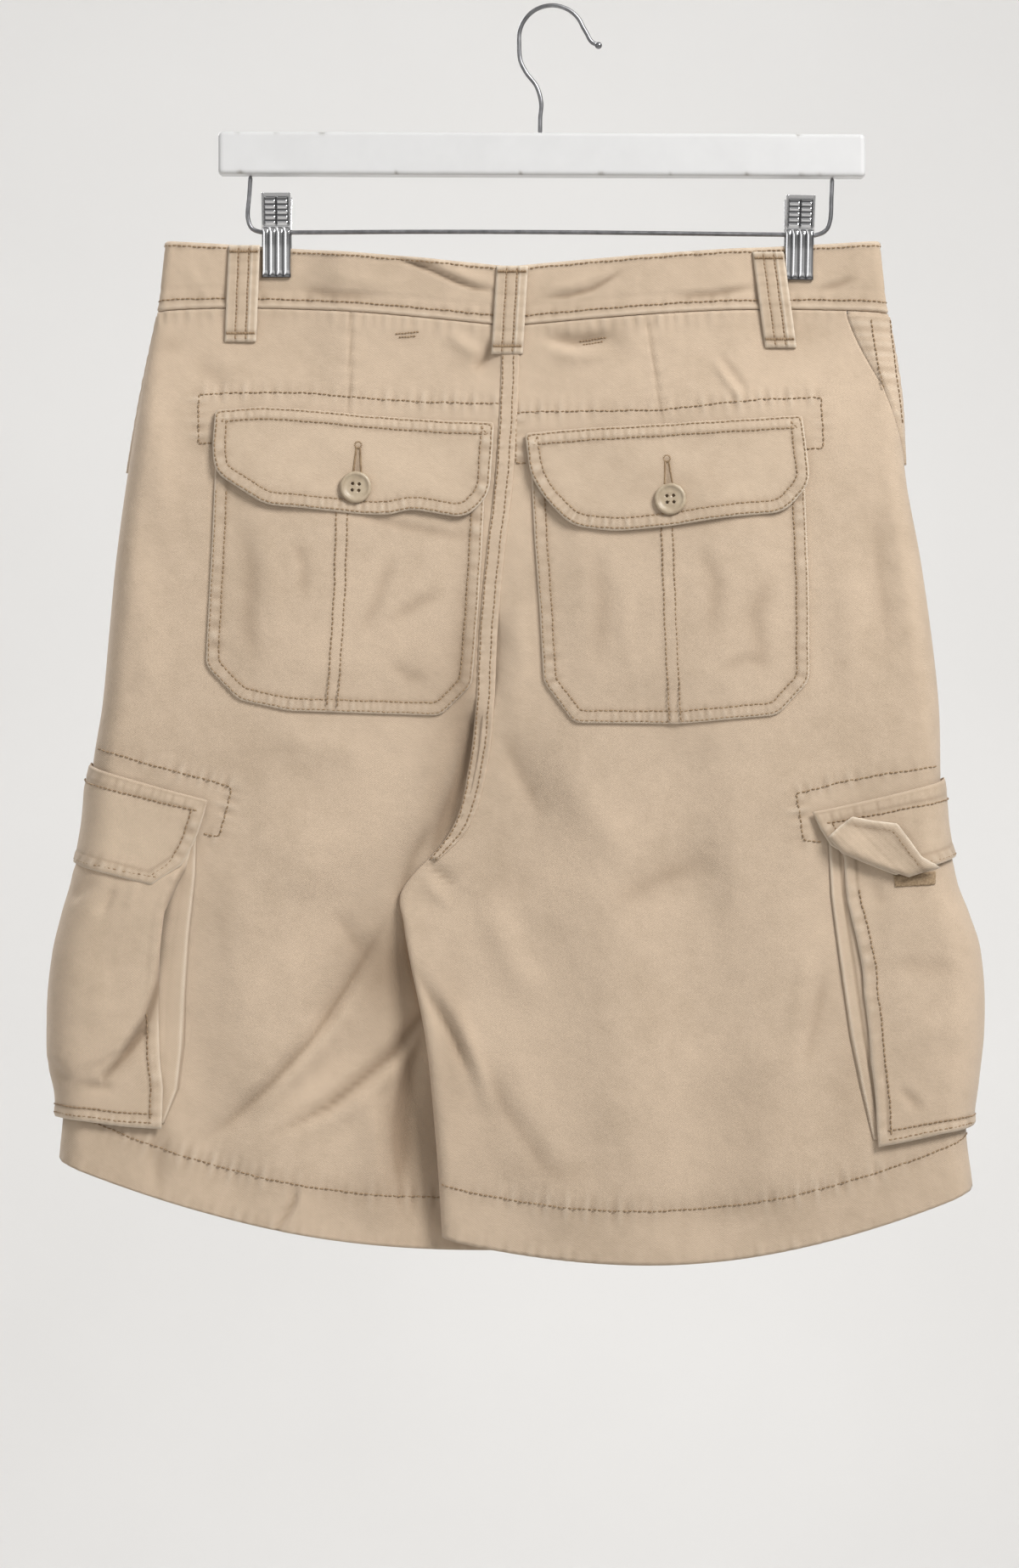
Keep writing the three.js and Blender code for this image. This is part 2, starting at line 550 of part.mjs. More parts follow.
// Rows that run round the side seam, from table rows {side, x, z}
function wrappedRows(half, table, steps) {
  return table.map((row) => {
    const end = locate(bodyPoint, half, -1, row.x, row.z);
    const start = sideEdge(half, row.side);
    return Array.from({ length: 2 * steps + 1 }, (unused, k) => {
      const share = (k - steps) / steps;
      return { q: share * Math.abs(end.q), v: lerp(start, end.v, Math.abs(share)) };
    });
  });
}

function wrappedPatch(half, table, lowerAt, upperAt) {
  const whole = solidOf(layer(bodyPoint, half, sideGrid(), lowerAt, upperAt));
  return geometryOf(mainPiece(whole.intersect(clothCutter(half, wrappedRows(half, table, 5)))));
}

// The bellows strip beside a cargo bag, on the seat side (-1) or as far round on the fly side (1)
function gusset(half, side) {
  const grid = CARGO_GUSSETS[half].map((row) => {
    const outer = locate(bodyPoint, half, -1, row.outX, row.z);
    const inner = locate(bodyPoint, half, -1, row.inX, row.z);
    return [0, 0.5, 1].map((t) => ({
      q: -side * lerp(outer.q, inner.q, t),
      v: lerp(outer.v, inner.v, t),
    }));
  });
  const upper = (q, v) => Math.min(LAY_GAP + POCKET_CLOTH, bagLower(q, v) - LAY_GAP / 2);
  const whole = solidOf(layer(bodyPoint, half, sideGrid(), () => LAY_GAP, upper));
  return geometryOf(mainPiece(whole.intersect(clothCutter(half, grid))));
}

const FACING_SHARE = { top: 0.2, foot: 0.03 };
const FACING_START = 0.004;

// The facing between the side seam and the slanting mouth of the hip pocket
function hipFacing(half) {
  const levels = DOWN.filter((v) => v < SEAM_TURN_END);
  const grid = levels.map((v) => {
    const seam = seamTurn(half, v) + trim(bodyPoint, half, seamTurn(half, v), v);
    const wide = lerp(FACING_SHARE.top, FACING_SHARE.foot, v / SEAM_TURN_END);
    return [0, 0.25, 0.5, 0.75, 1].map((t) => ({ q: seam + wide * t, v: Math.max(v, FACING_START) }));
  });
  const upper = () => LAY_GAP + FACING_CLOTH;
  const whole = solidOf(layer(bodyPoint, half, panelGrid(half, 1), () => LAY_GAP, upper));
  return geometryOf(mainPiece(whole.intersect(clothCutter(half, grid))));
}

// The strip of the left front that covers the zip
function flyPlacket() {
  const outline = [
    [-27, -192], [-27 - FLY_WIDTH, -190.5], [-28 - FLY_WIDTH, -300], [-24 - FLY_WIDTH, -330],
    [-12 - FLY_WIDTH, -348], [-36.5, -360], [-35.5, -335], [-31, -290], [-28, -235],
  ];
  return patch("left", 1, outline, () => LAY_GAP, () => LAY_GAP + FLY_CLOTH);
}

function gripPatch() {
  const { left, right, top, bottom } = GRIP_PATCH;
  const lower = (q, v) => bagUpper(q, v) + GRIP_GAP;
  const corners = [[left, top], [right, top], [right, bottom], [left, bottom]];
  const grid = [0, 1].map((j) =>
    [0, 0.5, 1].map((t) => {
      const from = corners[j === 0 ? 0 : 3];
      const to = corners[j === 0 ? 1 : 2];
      return locate(bodyPoint, "right", -1, lerp(from[0], to[0], t), from[1]);
    }),
  );
  const upper = (q, v) => lower(q, v) + GRIP_CLOTH;
  const whole = solidOf(layer(bodyPoint, "right", sideGrid(), lower, upper));
  return geometryOf(mainPiece(whole.intersect(clothCutter("right", grid))));
}

// How far out the cloth lies at x and z, on one side
function clothReach(side, x, z) {
  const half = x < BAND_TOP.centreX ? "left" : "right";
  const seam = locate(bodyPoint, half, side, x, bodyPoint(half, side * 0.5, 0).z);
  const seamZ = bodyPoint(half, seam.q, 0).z;
  if (z > seamZ) {
    const at = locate(bandPoint, half, side, x, z);
    return Math.abs(bandPoint(half, at.q, at.v).y);
  }
  const at = locate(bodyPoint, half, side, x, z);
  return Math.abs(bodyPoint(half, at.q, at.v).y);
}

// A belt loop: a doubled strip over the waistband, sewn down at both ends
function beltLoop(loop) {
  const steps = 7;
  const across = [-0.5, 0, 0.5];
  const reach = (t, share) => {
    const x = lerp(loop.topX, loop.lowX, t) + share * LOOP_WIDTH;
    return clothReach(loop.side, x, lerp(loop.topZ, loop.lowZ, t));
  };
  const levels = Array.from({ length: steps + 1 }, (unused, k) => k / steps);
  const rowReach = levels.map((t) => Math.max(...across.map((share) => reach(t, share))));
  const rowAt = (k, out) =>
    across.map((share) => {
      const arch = Math.sin((Math.PI * k) / steps) * LOOP_ARCH;
      const near = Math.max(rowReach[k], rowReach[Math.min(k + 1, steps)], rowReach[Math.max(k - 1, 0)]);
      return new THREE.Vector3(
        lerp(loop.topX, loop.lowX, levels[k]) + share * LOOP_WIDTH,
        loop.side * (near + LOOP_STAND + arch + out),
        lerp(loop.topZ, loop.lowZ, levels[k]),
      );
    });
  return wall(
    levels.map((t, k) => rowAt(k, LOOP_CLOTH)),
    levels.map((t, k) => rowAt(k, 0)),
  );
}

// A four-hole button with a raised rim, lying in the XY plane with its face towards +Z
function button(radius) {
  const rim = radius * 0.8;
  const profile = [
    [0, 0], [radius * 0.75, 0], [radius * 0.97, 0.7], [radius, 1.4], [radius * 0.94, 2.6],
    [radius * 0.87, BUTTON_THICK], [rim, BUTTON_THICK - 0.1], [radius * 0.68, 2.2], [0, 2.0],
  ];
  const turned = new THREE.LatheGeometry(profile.map(([r, z]) => new THREE.Vector2(r, z)), 20);
  let solid = solidOf(turned.rotateX(Math.PI / 2));
  for (const [sx, sy] of [[-1, -1], [1, -1], [1, 1], [-1, 1]]) {
    const hole = new THREE.CylinderGeometry(BUTTON_HOLE, BUTTON_HOLE, 12, 7).rotateX(Math.PI / 2);
    hole.translate(sx * BUTTON_HOLE_SPREAD, sy * BUTTON_HOLE_SPREAD, 0);
    solid = solid.subtract(solidOf(hole));
  }
  return geometryOf(solid);
}

// A button laid on the cloth at a place, at a distance from it
function placedButton(pointAt, half, radius, at, out) {
  const inner = movedOut(pointAt, half, at.q, at.v, out);
  const outer = movedOut(pointAt, half, at.q, at.v, out + 10);
  const facing = outer.clone().sub(inner).normalize();
  const turn = new THREE.Quaternion().setFromUnitVectors(new THREE.Vector3(0, 0, 1), facing);
  return { geometry: button(radius), position: inner, quaternion: turn };
}

// Hanger: the painted bar, with eased edges
function hangerBar() {
  const { left, right, top, tall, deep, edge } = BAR;
  const shape = new THREE.Shape();
  const y = deep / 2;
  const z = tall / 2;
  shape.moveTo(-y + edge, -z);
  shape.lineTo(y - edge, -z);
  shape.quadraticCurveTo(y, -z, y, -z + edge);
  shape.lineTo(y, z - edge);
  shape.quadraticCurveTo(y, z, y - edge, z);
  shape.lineTo(-y + edge, z);
  shape.quadraticCurveTo(-y, z, -y, z - edge);
  shape.lineTo(-y, -z + edge);
  shape.quadraticCurveTo(-y, -z, -y + edge, -z);
  const geometry = new THREE.ExtrudeGeometry(shape, {
    depth: right - left, bevelEnabled: false, curveSegments: 3,
  });
  geometry.applyMatrix4(new THREE.Matrix4().makeBasis(
    new THREE.Vector3(0, 1, 0), new THREE.Vector3(0, 0, 1), new THREE.Vector3(1, 0, 0),
  ));
  geometry.translate(left, 0, top - tall / 2);
  return geometry;
}

const barTopAt = (x) => BAR.top - (x - (BAR.left + BAR.right) / 2) * BAR.tilt;
const barBottomAt = (x) => barTopAt(x) - BAR.tall;

// A round wire along a curve
function wire(curve, radius, steps, sides) {
  const ring = Array.from({ length: sides }, (unused, k) => {
    const turn = (2 * Math.PI * k) / sides;
    return new THREE.Vector2(radius * Math.cos(turn), radius * Math.sin(turn));
  });
  return new THREE.ExtrudeGeometry(new THREE.Shape(ring), { extrudePath: curve, steps, bevelEnabled: false });
}

function hangerHook() {
  const { radius, centreZ, stemX } = HOOK;
  const foot = [
    [stemX, barTopAt(stemX) + SEAM_GAP], [stemX, -65], [-6.4, -56], [-9, -46.5], [-15, -38.5], [-18.6, -31],
  ];
  const points = foot.map(([x, z]) => new THREE.Vector3(x, 0, z));
  for (let turn = 185; turn >= 20; turn -= 15) {
    const a = THREE.MathUtils.degToRad(turn);
    points.push(new THREE.Vector3(radius * Math.cos(a), 0, centreZ + radius * Math.sin(a)));
  }
  for (const [x, z] of [[20.6, -15.5], [23.2, -20], [27, -22.2]]) points.push(new THREE.Vector3(x, 0, z));
  const body = solidOf(wire(new THREE.CatmullRomCurve3(points), WIRE_RADIUS, 44, 8));
  const tip = new THREE.SphereGeometry(2.1, 10, 6).translate(27.4, 0, -22.3);
  return geometryOf(mainPiece(body.add(solidOf(tip))));
}

// The steel rod that carries the clips: down from the bar, across, and up again
function hangerRod() {
  const places = [
    [-177.5, barBottomAt(-177.5) - SEAM_GAP], [-178.2, -110], [-179, -124], [-176.6, -130], [-170.5, -132.3],
    [-161, -132.4], [-80, -132], [0, -132.2], [80, -133], [145, -133.8], [155.5, -133.9], [161.4, -131],
    [163.8, -125], [164.5, -112], [165, barBottomAt(165) - SEAM_GAP],
  ];
  const points = places.map(([x, z]) => new THREE.Vector3(x, 0, z));
  return wire(new THREE.CatmullRomCurve3(points, false, "centripetal"), ROD_RADIUS, 40, 8);
}

// One jaw of a clip, facing side -1 or 1: a pressed sheet with flutes over its lower half.
// Rows run down from the grip's top, in distance from the rod's height and in Y.
const JAW = [
  { z: 22, y: 8.6 }, { z: 4, y: 2.6 }, { z: 0, y: 1.7 }, { z: -4, y: 2.3 }, { z: -8, y: 3.45 },
  { z: -24, y: 3.45 }, { z: -27, y: 3.4 },
];
function clipJaw(side) {
  const steps = CLIP.flutes * 3;
  const places = Array.from({ length: steps + 1 }, (unused, k) => k / steps);
  const rise = (share, z) => {
    const flute = Math.abs(Math.sin(Math.PI * CLIP.flutes * share));
    return CLIP.fluteRise * flute * smoothstep(4, -4, z) * smoothstep(-27, -24, z);
  };
  const grid = (out) => JAW.map((row) => places.map((share) => new THREE.Vector3(
    (share - 0.5) * CLIP.width,
    side * (row.y + (out ? CLIP.sheet + rise(share, row.z) : 0)),
    row.z,
  )));
  return wall(grid(true), grid(false));
}

function material(color, roughness, metalness) {
  return new THREE.MeshStandardMaterial({ color, roughness, metalness });
}

const LOOKS = {
  cloth: () => material(KHAKI, 0.9, 0),
  edge: () => material(KHAKI_EDGE, 0.9, 0),
  horn: () => material(HORN, 0.45, 0),
  paint: () => material(PAINTED_WOOD, 0.45, 0),
  chrome: () => material(CHROME, 0.15, 1),
};

const shorts = new THREE.Group();

function place(name, geometry, look, parent = shorts) {
  const mesh = new THREE.Mesh(geometry, LOOKS[look]());
  mesh.name = name;
  parent.add(mesh);
  return mesh;
}

function placeButton(name, made) {
  const mesh = place(name, made.geometry, "horn");
  mesh.position.copy(made.position);
  mesh.quaternion.copy(made.quaternion);
}

for (const half of ["left", "right"]) {
  place(`waistband_${half}`, waistband(half), "cloth");
  place(`back_panel_${half}`, panel(half, -1), "cloth");
  place(`front_panel_${half}`, panel(half, 1), "cloth");
  place(`hip_facing_${half}`, hipFacing(half), "cloth");
  place(`back_pocket_${half}`, patch(half, -1, BACK_POCKETS[half], pocketLower, pocketUpper), "cloth");
  place(`back_flap_${half}`, patch(half, -1, BACK_FLAPS[half], backFlapLower, backFlapUpper), "edge");
  place(`cargo_bag_${half}`, wrappedPatch(half, CARGO_BAGS[half], bagLower, bagUpper), "cloth");
  place(`cargo_gusset_back_${half}`, gusset(half, -1), "cloth");
  place(`cargo_gusset_front_${half}`, gusset(half, 1), "cloth");
  place(`cargo_flap_${half}`, wrappedPatch(half, CARGO_FLAPS[half], cargoFlapLower, cargoFlapUpper), "edge");
  const at = locate(bodyPoint, half, -1, BACK_BUTTONS[half].x, BACK_BUTTONS[half].z);
  const stand = backFlapUpper(at.q, at.v) + LAY_GAP;
  placeButton(`back_button_${half}`, placedButton(bodyPoint, half, BUTTON_RADIUS, at, stand));
}
place("fly_placket", flyPlacket(), "edge");
place("grip_patch_right", gripPatch(), "cloth");
const frontButton = { q: 1 + BUTTON_PAST_CENTRE / bandReach("left"), v: 0.55 };
placeButton("front_button", placedButton(bandPoint, "left", FRONT_BUTTON_RADIUS, frontButton, LAY_GAP));
for (const loop of BELT_LOOPS) place(loop.name, beltLoop(loop), "edge");

const bar = place("hanger_bar", hangerBar(), "paint");
bar.rotation.y = BAR.tilt;
place("hanger_hook", hangerHook(), "chrome");
place("hanger_rod", hangerRod(), "chrome");
for (const [half, rodZ, tilt] of [["left", -132.4, 0], ["right", -133.8, 0.02]]) {
  const clip = new THREE.Group();
  clip.position.set(PINCH_X[half], 0, rodZ);
  clip.rotation.y = tilt;
  place(`clip_jaw_back_${half}`, clipJaw(-1), "chrome", clip);
  place(`clip_jaw_front_${half}`, clipJaw(1), "chrome", clip);
  shorts.add(clip);
}

export default shorts;
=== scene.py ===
import math

import bpy
import numpy as np
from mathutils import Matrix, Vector, geometry


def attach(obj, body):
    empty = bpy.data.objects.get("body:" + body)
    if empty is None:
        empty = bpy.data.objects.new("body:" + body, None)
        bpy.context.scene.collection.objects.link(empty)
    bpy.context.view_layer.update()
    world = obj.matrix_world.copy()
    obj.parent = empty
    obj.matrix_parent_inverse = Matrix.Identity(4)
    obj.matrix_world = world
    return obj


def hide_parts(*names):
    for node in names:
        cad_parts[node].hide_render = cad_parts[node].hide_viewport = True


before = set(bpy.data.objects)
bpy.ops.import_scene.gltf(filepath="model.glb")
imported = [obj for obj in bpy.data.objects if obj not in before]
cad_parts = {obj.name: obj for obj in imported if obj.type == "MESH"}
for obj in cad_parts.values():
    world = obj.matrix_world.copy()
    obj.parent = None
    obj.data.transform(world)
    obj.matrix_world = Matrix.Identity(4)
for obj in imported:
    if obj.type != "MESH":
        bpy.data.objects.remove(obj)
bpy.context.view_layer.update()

# Lengths in the tables are millimetres of the frame, and MM turns them into metres.
MM = 0.001
SEAT = -1
FLY = 1

# Sections from the waist seam, v 0, to the hem, v 1
SECTION_COLUMNS = ("v", "out_x", "out_z", "in_x", "in_z", "depth", "in_depth", "round", "lean")
SECTIONS = {
    "left": np.array([
        (0, -232, -179.8, -25, -188.8, 8, 8, 7, 0),
        (0.1, -242.5, -230.8, -26.5, -235.8, 14, 11, 11, 0),
        (0.2, -250.5, -280.8, -29.5, -280.8, 19, 13, 14, 0),
        (0.3, -256.5, -325.8, -34.5, -323.3, 22, 14, 15, 0),
        (0.4, -260.5, -368.3, -38.5, -368.3, 24, 13, 16, 0),
        (0.5, -264.5, -410.8, -40.5, -410.8, 24, 11, 16, 0),
        (0.58, -270, -445.8, -45, -448.3, 24, 8, 16, 0),
        (0.66, -272, -483.3, -55.2, -483.3, 23, 5, 16, 0.4),
        (0.72, -275.5, -513.3, -84.5, -518.8, 22, 3, 16, 2),
        (0.76, -281.5, -535.3, -85, -541, 21.5, 3, 16, 5),
        (0.8, -286, -557.3, -82, -563.3, 21, 3.4, 16, 7.5),
        (0.88, -289.5, -600.8, -65, -613.3, 21, 5.5, 16, 11),
        (0.95, -287.5, -645.8, -35, -680.8, 22, 7, 16, 13),
        (1, -290, -676.3, -5, -730.8, 22, 8, 16, 13),
    ]),
    "right": np.array([
        (0, 197.5, -180.8, -25, -188.8, 8, 8, 7, 0),
        (0.1, 205, -228.3, -26.5, -235.8, 14, 11, 11, 0),
        (0.2, 208, -275.8, -29.5, -280.8, 19, 13, 14, 0),
        (0.3, 216.5, -323.3, -34.5, -323.3, 22, 14, 15, 0),
        (0.4, 223, -368.3, -38.5, -368.3, 24, 13, 16, 0),
        (0.5, 227.5, -410.8, -40.5, -410.8, 25, 11, 16, 0),
        (0.58, 228.5, -448.3, -45, -448.3, 25, 8, 16, 0),
        (0.66, 228.5, -483.3, -57, -483.3, 25, 5, 16, -0.4),
        (0.72, 233.5, -515.8, -88, -518.8, 24, 3, 16, -2),
        (0.76, 240.5, -535.8, -87, -540, 23.5, 3, 16, -5),
        (0.8, 246, -555.8, -83.5, -560.8, 23, 3.4, 16, -7.5),
        (0.88, 248.5, -603.3, -74, -608.3, 23, 5.5, 16, -11),
        (0.95, 243.5, -655.8, -68, -668.3, 24, 7, 16, -13),
        (1, 247.5, -692.8, -64.5, -721.8, 24, 8, 16, -13),
    ]),
}
SEAT_RISE = 5
HEM_DROP = {"left": 17, "right": 28}
CROTCH = (0.65, 0.72)
SIDE_SHARE = 0.12
INSEAM_SHARE = 0.04
BAND_TOP = {"left": (-227.5, -137.8), "right": (193, -137.8)}
BAND_CENTRE = (-25, -153.3)
BAND_RISE = 1.5
PINCH_X = {"left": -162, "right": 145.5}
PINCH_DEPTH = 2.75
PINCH_FLAT = 14
PINCH_FADE = 42
SEAM_TURN = {"left": 0, "right": 0.19}
SEAM_TURN_END = 0.19
SEAM_GAP = 0.3
HEM_LINE = 0.96
HEM_TALL = 31

# Cloth thicknesses
CLOTH = 0.9
BAND_CLOTH = 2.2
POCKET_CLOTH = 1.2
FLAP_CLOTH = 1.7

# Soft troughs (depth under 0) and ridges: half, side, from x and z, to x and z, width, depth
FOLDS = [
    ("left", SEAT, -45, -424, -62, -490, 9, -5),
    ("left", SEAT, -41, -197, -38, -212, 8, -2.5),
    ("left", SEAT, -92, -541, -135, -590, 11, -4),
    ("left", SEAT, -80, -596, -175, -651, 13, -4),
    ("left", SEAT, -108, -646, -104, -705, 11, 3),
    ("left", SEAT, -150, -500, -170, -640, 24, 3.5),
    ("left", SEAT, -215, -600, -190, -690, 18, -3),
    ("right", SEAT, -74, -506, -52, -530, 9, -3.5),
    ("right", SEAT, -68, -595, -42, -651, 10, -3.5),
    ("right", SEAT, -50, -606, 8, -700, 17, 3),
    ("right", SEAT, -4, -192, 34, -200, 8, -2.5),
    ("right", SEAT, 20, -450, 38, -640, 26, 3.5),
    ("right", SEAT, 80, -450, 86, -700, 24, -4),
    ("right", SEAT, 142, -470, 132, -680, 24, 3),
    ("left", FLY, -70, -470, -150, -440, 14, -4),
    ("left", FLY, -90, -520, -160, -690, 22, -4),
    ("left", FLY, -205, -300, -190, -470, 24, 3),
    ("right", FLY, -40, -478, 60, -440, 14, -4),
    ("right", FLY, -30, -540, 40, -700, 24, -4),
    ("right", FLY, 120, -330, 110, -640, 30, 3.5),
]

# Narrow creases that run out at both ends: half, side, line in X and Z, width, depth
CREASES = [
    (
        "left", SEAT,
        [(-98, -538), (-112, -562), (-121, -577), (-141, -607), (-166, -634), (-190, -655), (-210, -669)], 5,
        -5.2
    ),
    ("left", SEAT, [(-106, -556), (-128, -596), (-152, -626), (-180, -650)], 7, 3.4),
    ("left", SEAT, [(-66, -578), (-92, -614), (-111, -630), (-131, -646), (-165, -662)], 4.6, -5.4),
    ("left", SEAT, [(-74, -600), (-97, -628), (-120, -647), (-148, -661)], 6, 3),
    ("left", SEAT, [(-72, -590), (-84, -622), (-90, -655), (-90, -700)], 7, -4.6),
    ("left", SEAT, [(-106, -640), (-101, -670), (-97, -712)], 7, 2.6),
    ("left", SEAT, [(-128, -530), (-118, -546), (-110, -560)], 6, -1.6),
    ("left", SEAT, [(-148, -690), (-152, -703), (-162, -720)], 1.9, -2.8),
    ("left", SEAT, [(-144, -690), (-148, -704), (-158, -721)], 2.6, 1.6),
    ("left", SEAT, [(-226, -655), (-230, -675), (-229, -700)], 6, -2),
    ("left", SEAT, [(-136, -498), (-142, -510), (-150, -524)], 8, 1.6),
    ("left", SEAT, [(-152, -550), (-150, -580), (-144, -604)], 10, 1.8),
    ("left", SEAT, [(-190, -490), (-182, -540), (-178, -610)], 13, 2),
    ("left", SEAT, [(-34, -196), (-38, -204), (-46, -216)], 3.4, -3),
    ("left", SEAT, [(-62, -192), (-52, -200), (-40, -208)], 4.4, 1.7),
    ("left", SEAT, [(-40, -404), (-50, -440), (-60, -472), (-74, -506)], 8, -5.5),
    ("left", SEAT, [(-62, -424), (-72, -456), (-84, -490)], 10, 2.4),
    ("left", SEAT, [(-70, -478), (-82, -500), (-92, -530)], 7, -3),
    ("left", SEAT, [(-165, -428), (-140, -436), (-104, -440)], 9, 1.4),
    ("left", SEAT, [(-236, -226), (-230, -265), (-228, -310)], 9, 2),
    ("left", SEAT, [(-242, -320), (-238, -370), (-236, -420)], 9, 1.8),
    ("left", SEAT, [(-214, -206), (-200, -216), (-186, -230)], 7, -1.4),
    ("right", SEAT, [(-76, -500), (-66, -509), (-56, -518)], 2.4, -2.6),
    ("right", SEAT, [(-78, -512), (-68, -522), (-58, -530)], 3.2, 1.8),
    ("right", SEAT, [(-82, -560), (-70, -584), (-58, -604), (-44, -636)], 4, -3.2),
    ("right", SEAT, [(-70, -566), (-56, -592), (-44, -620), (-34, -650)], 5, 2.2),
    ("right", SEAT, [(-42, -610), (-28, -645), (-6, -678), (16, -694)], 7, -2),
    ("right", SEAT, [(-44, -520), (-28, -550), (-10, -590)], 10, 2.4),
    ("right", SEAT, [(-36, -350), (-32, -376), (-38, -418)], 5, -2.6),
    ("right", SEAT, [(-22, -342), (-18, -380), (-26, -430)], 7, 1.8),
    ("right", SEAT, [(-30, -424), (-20, -446), (-4, -480)], 8, -2.2),
    ("right", SEAT, [(0, -436), (20, -470), (52, -510)], 12, 1.8),
    ("right", SEAT, [(94, -208), (102, -220), (112, -234)], 2.4, 1.5),
    ("right", SEAT, [(98, -205), (107, -217), (116, -230)], 2.4, -1.3),
    ("right", SEAT, [(-8, -194), (14, -198), (38, -193)], 4, -3),
    ("right", SEAT, [(-6, -202), (16, -206), (40, -203)], 5, 1.8),
    ("right", SEAT, [(50, -628), (100, -622), (156, -606)], 18, 1.8),
    ("right", SEAT, [(150, -552), (146, -576), (138, -606)], 6, 2),
    ("right", SEAT, [(160, -560), (154, -594), (146, -626)], 7, -2),
    ("right", SEAT, [(30, -530), (62, -512), (100, -498)], 15, -2.2),
    ("right", SEAT, [(168, -316), (172, -360), (174, -410)], 9, 1.8),
    ("right", SEAT, [(188, -290), (192, -340), (198, -390)], 8, -1.8),
    ("right", SEAT, [(110, -440), (104, -490), (112, -560)], 14, 2),
    ("left", FLY, [(-56, -504), (-90, -486), (-126, -466)], 6, -3.4),
    ("left", FLY, [(-74, -548), (-104, -586), (-136, -620)], 6, -3.6),
    ("left", FLY, [(-104, -572), (-140, -612), (-176, -656)], 7, 2.4),
    ("left", FLY, [(-218, -222), (-212, -262), (-208, -306)], 9, 2.2),
    ("left", FLY, [(-172, -322), (-164, -362), (-158, -410)], 11, -2.2),
    ("right", FLY, [(-54, -504), (-20, -486), (26, -468)], 6, -3.4),
    ("right", FLY, [(-44, -552), (-12, -592), (26, -628)], 7, -3.6),
    ("right", FLY, [(74, -532), (100, -578), (136, -628)], 9, 2.4),
    ("right", FLY, [(172, -232), (166, -272), (158, -318)], 9, 2.2),
    ("right", FLY, [(92, -322), (86, -372), (78, -428)], 11, -2.1),
]
BAND_CREASES = {
    "left": [
        (
            "left", SEAT, [(-99, -145), (-84, -151), (-72, -155), (-57, -162), (-45, -166), (-30, -167.5)],
            1.3, -2.2
        ),
        (
            "left", SEAT, [(-98, -141), (-82, -146), (-69, -151), (-54, -158), (-42, -162), (-30, -163)],
            3.2, 1.7
        ),
        ("left", SEAT, [(-150, -166), (-128, -170), (-100, -171)], 3, -0.9),
        ("left", SEAT, [(-215, -150), (-205, -170)], 3, 0.5),
        ("left", SEAT, [(-140, -158), (-110, -162), (-84, -170)], 5, 0.8),
        ("left", FLY, [(-90, -150), (-60, -165)], 3, 0.8),
    ],
    "right": [
        ("right", SEAT, [(-8, -172), (9, -170.5), (23, -167), (34, -160.5), (43, -155)], 1.5, -1.5),
        ("right", SEAT, [(-6, -167), (12, -165), (25, -160), (36, -154)], 3.2, 1.2),
        ("right", SEAT, [(122, -164), (96, -169.5), (68, -171.5)], 2.2, -1.0),
        ("right", SEAT, [(155, -166), (168, -163.5), (180, -159)], 2.2, -0.8),
        ("right", FLY, [(40, -150), (80, -165)], 3, 0.8),
    ],
}


def smoothstep(low, high, value):
    t = np.clip((value - low) / (high - low), 0, 1)
    return t * t * (3 - 2 * t)


def lerp(a, b, t):
    return a + (b - a) * t


def column(half, name, v):
    """A column of the section table at v, as a smooth curve through its rows."""
    rows = SECTIONS[half]
    at = rows[:, 0]
    y = rows[:, SECTION_COLUMNS.index(name)]
    before = np.maximum(np.arange(len(at)) - 1, 0)
    after = np.minimum(np.arange(len(at)) + 1, len(at) - 1)
    slope = (y[after] - y[before]) / (at[after] - at[before])
    i = np.clip(np.searchsorted(at, v, side="left") - 1, 0, len(at) - 2)
    span = at[i + 1] - at[i]
    t = (v - at[i]) / span
    a = slope[i] * span
    b = slope[i + 1] * span
    rise = y[i + 1] - y[i]
    return y[i] + t * (a + t * (3 * rise - 2 * a - b + t * (a + b - 2 * rise)))


def band_depth(half, share, x, h):
    open_depth = lerp(4.6, 8.5, smoothstep(0.1, 0.6, share))
    near = smoothstep(PINCH_FADE, PINCH_FLAT, np.abs(x - PINCH_X[half]))
    pinch = near * lerp(0.6, 1, smoothstep(0, 0.38, h))
    return lerp(open_depth, PINCH_DEPTH, pinch)


def fold_rise(table, half, side, x, z):
    rise = np.zeros_like(x)
    for name, on, x0, z0, x1, z1, width, depth in table:
        if name != half:
            continue
        dx, dz = x1 - x0, z1 - z0
        along = np.clip(((x - x0) * dx + (z - z0) * dz) / (dx * dx + dz * dz), 0, 1)
        gap = np.hypot(x - x0 - along * dx, z - z0 - along * dz)
        rise += np.where(side == on, depth * np.exp(-((gap / width) ** 2)), 0)
    return rise


def crease_rise(table, half, side, x, z):
    """The rise of creases at each place, running out towards their ends."""
    places = np.stack([np.ravel(x), np.ravel(z)], axis=1)
    rise = np.zeros(len(places))
    for name, on, line, width, depth in table:
        if name != half:
            continue
        gap, along = line_distance(places, line)
        length = sum(math.hypot(b[0] - a[0], b[1] - a[1]) for a, b in zip(line[:-1], line[1:]))
        share = along / length
        ends = smoothstep(-0.05, 0.35, share) * smoothstep(1.05, 0.65, share)
        rise += np.where(np.ravel(side) == on, depth * ends * np.exp(-((gap / width) ** 2)), 0)
    return rise.reshape(np.shape(x))


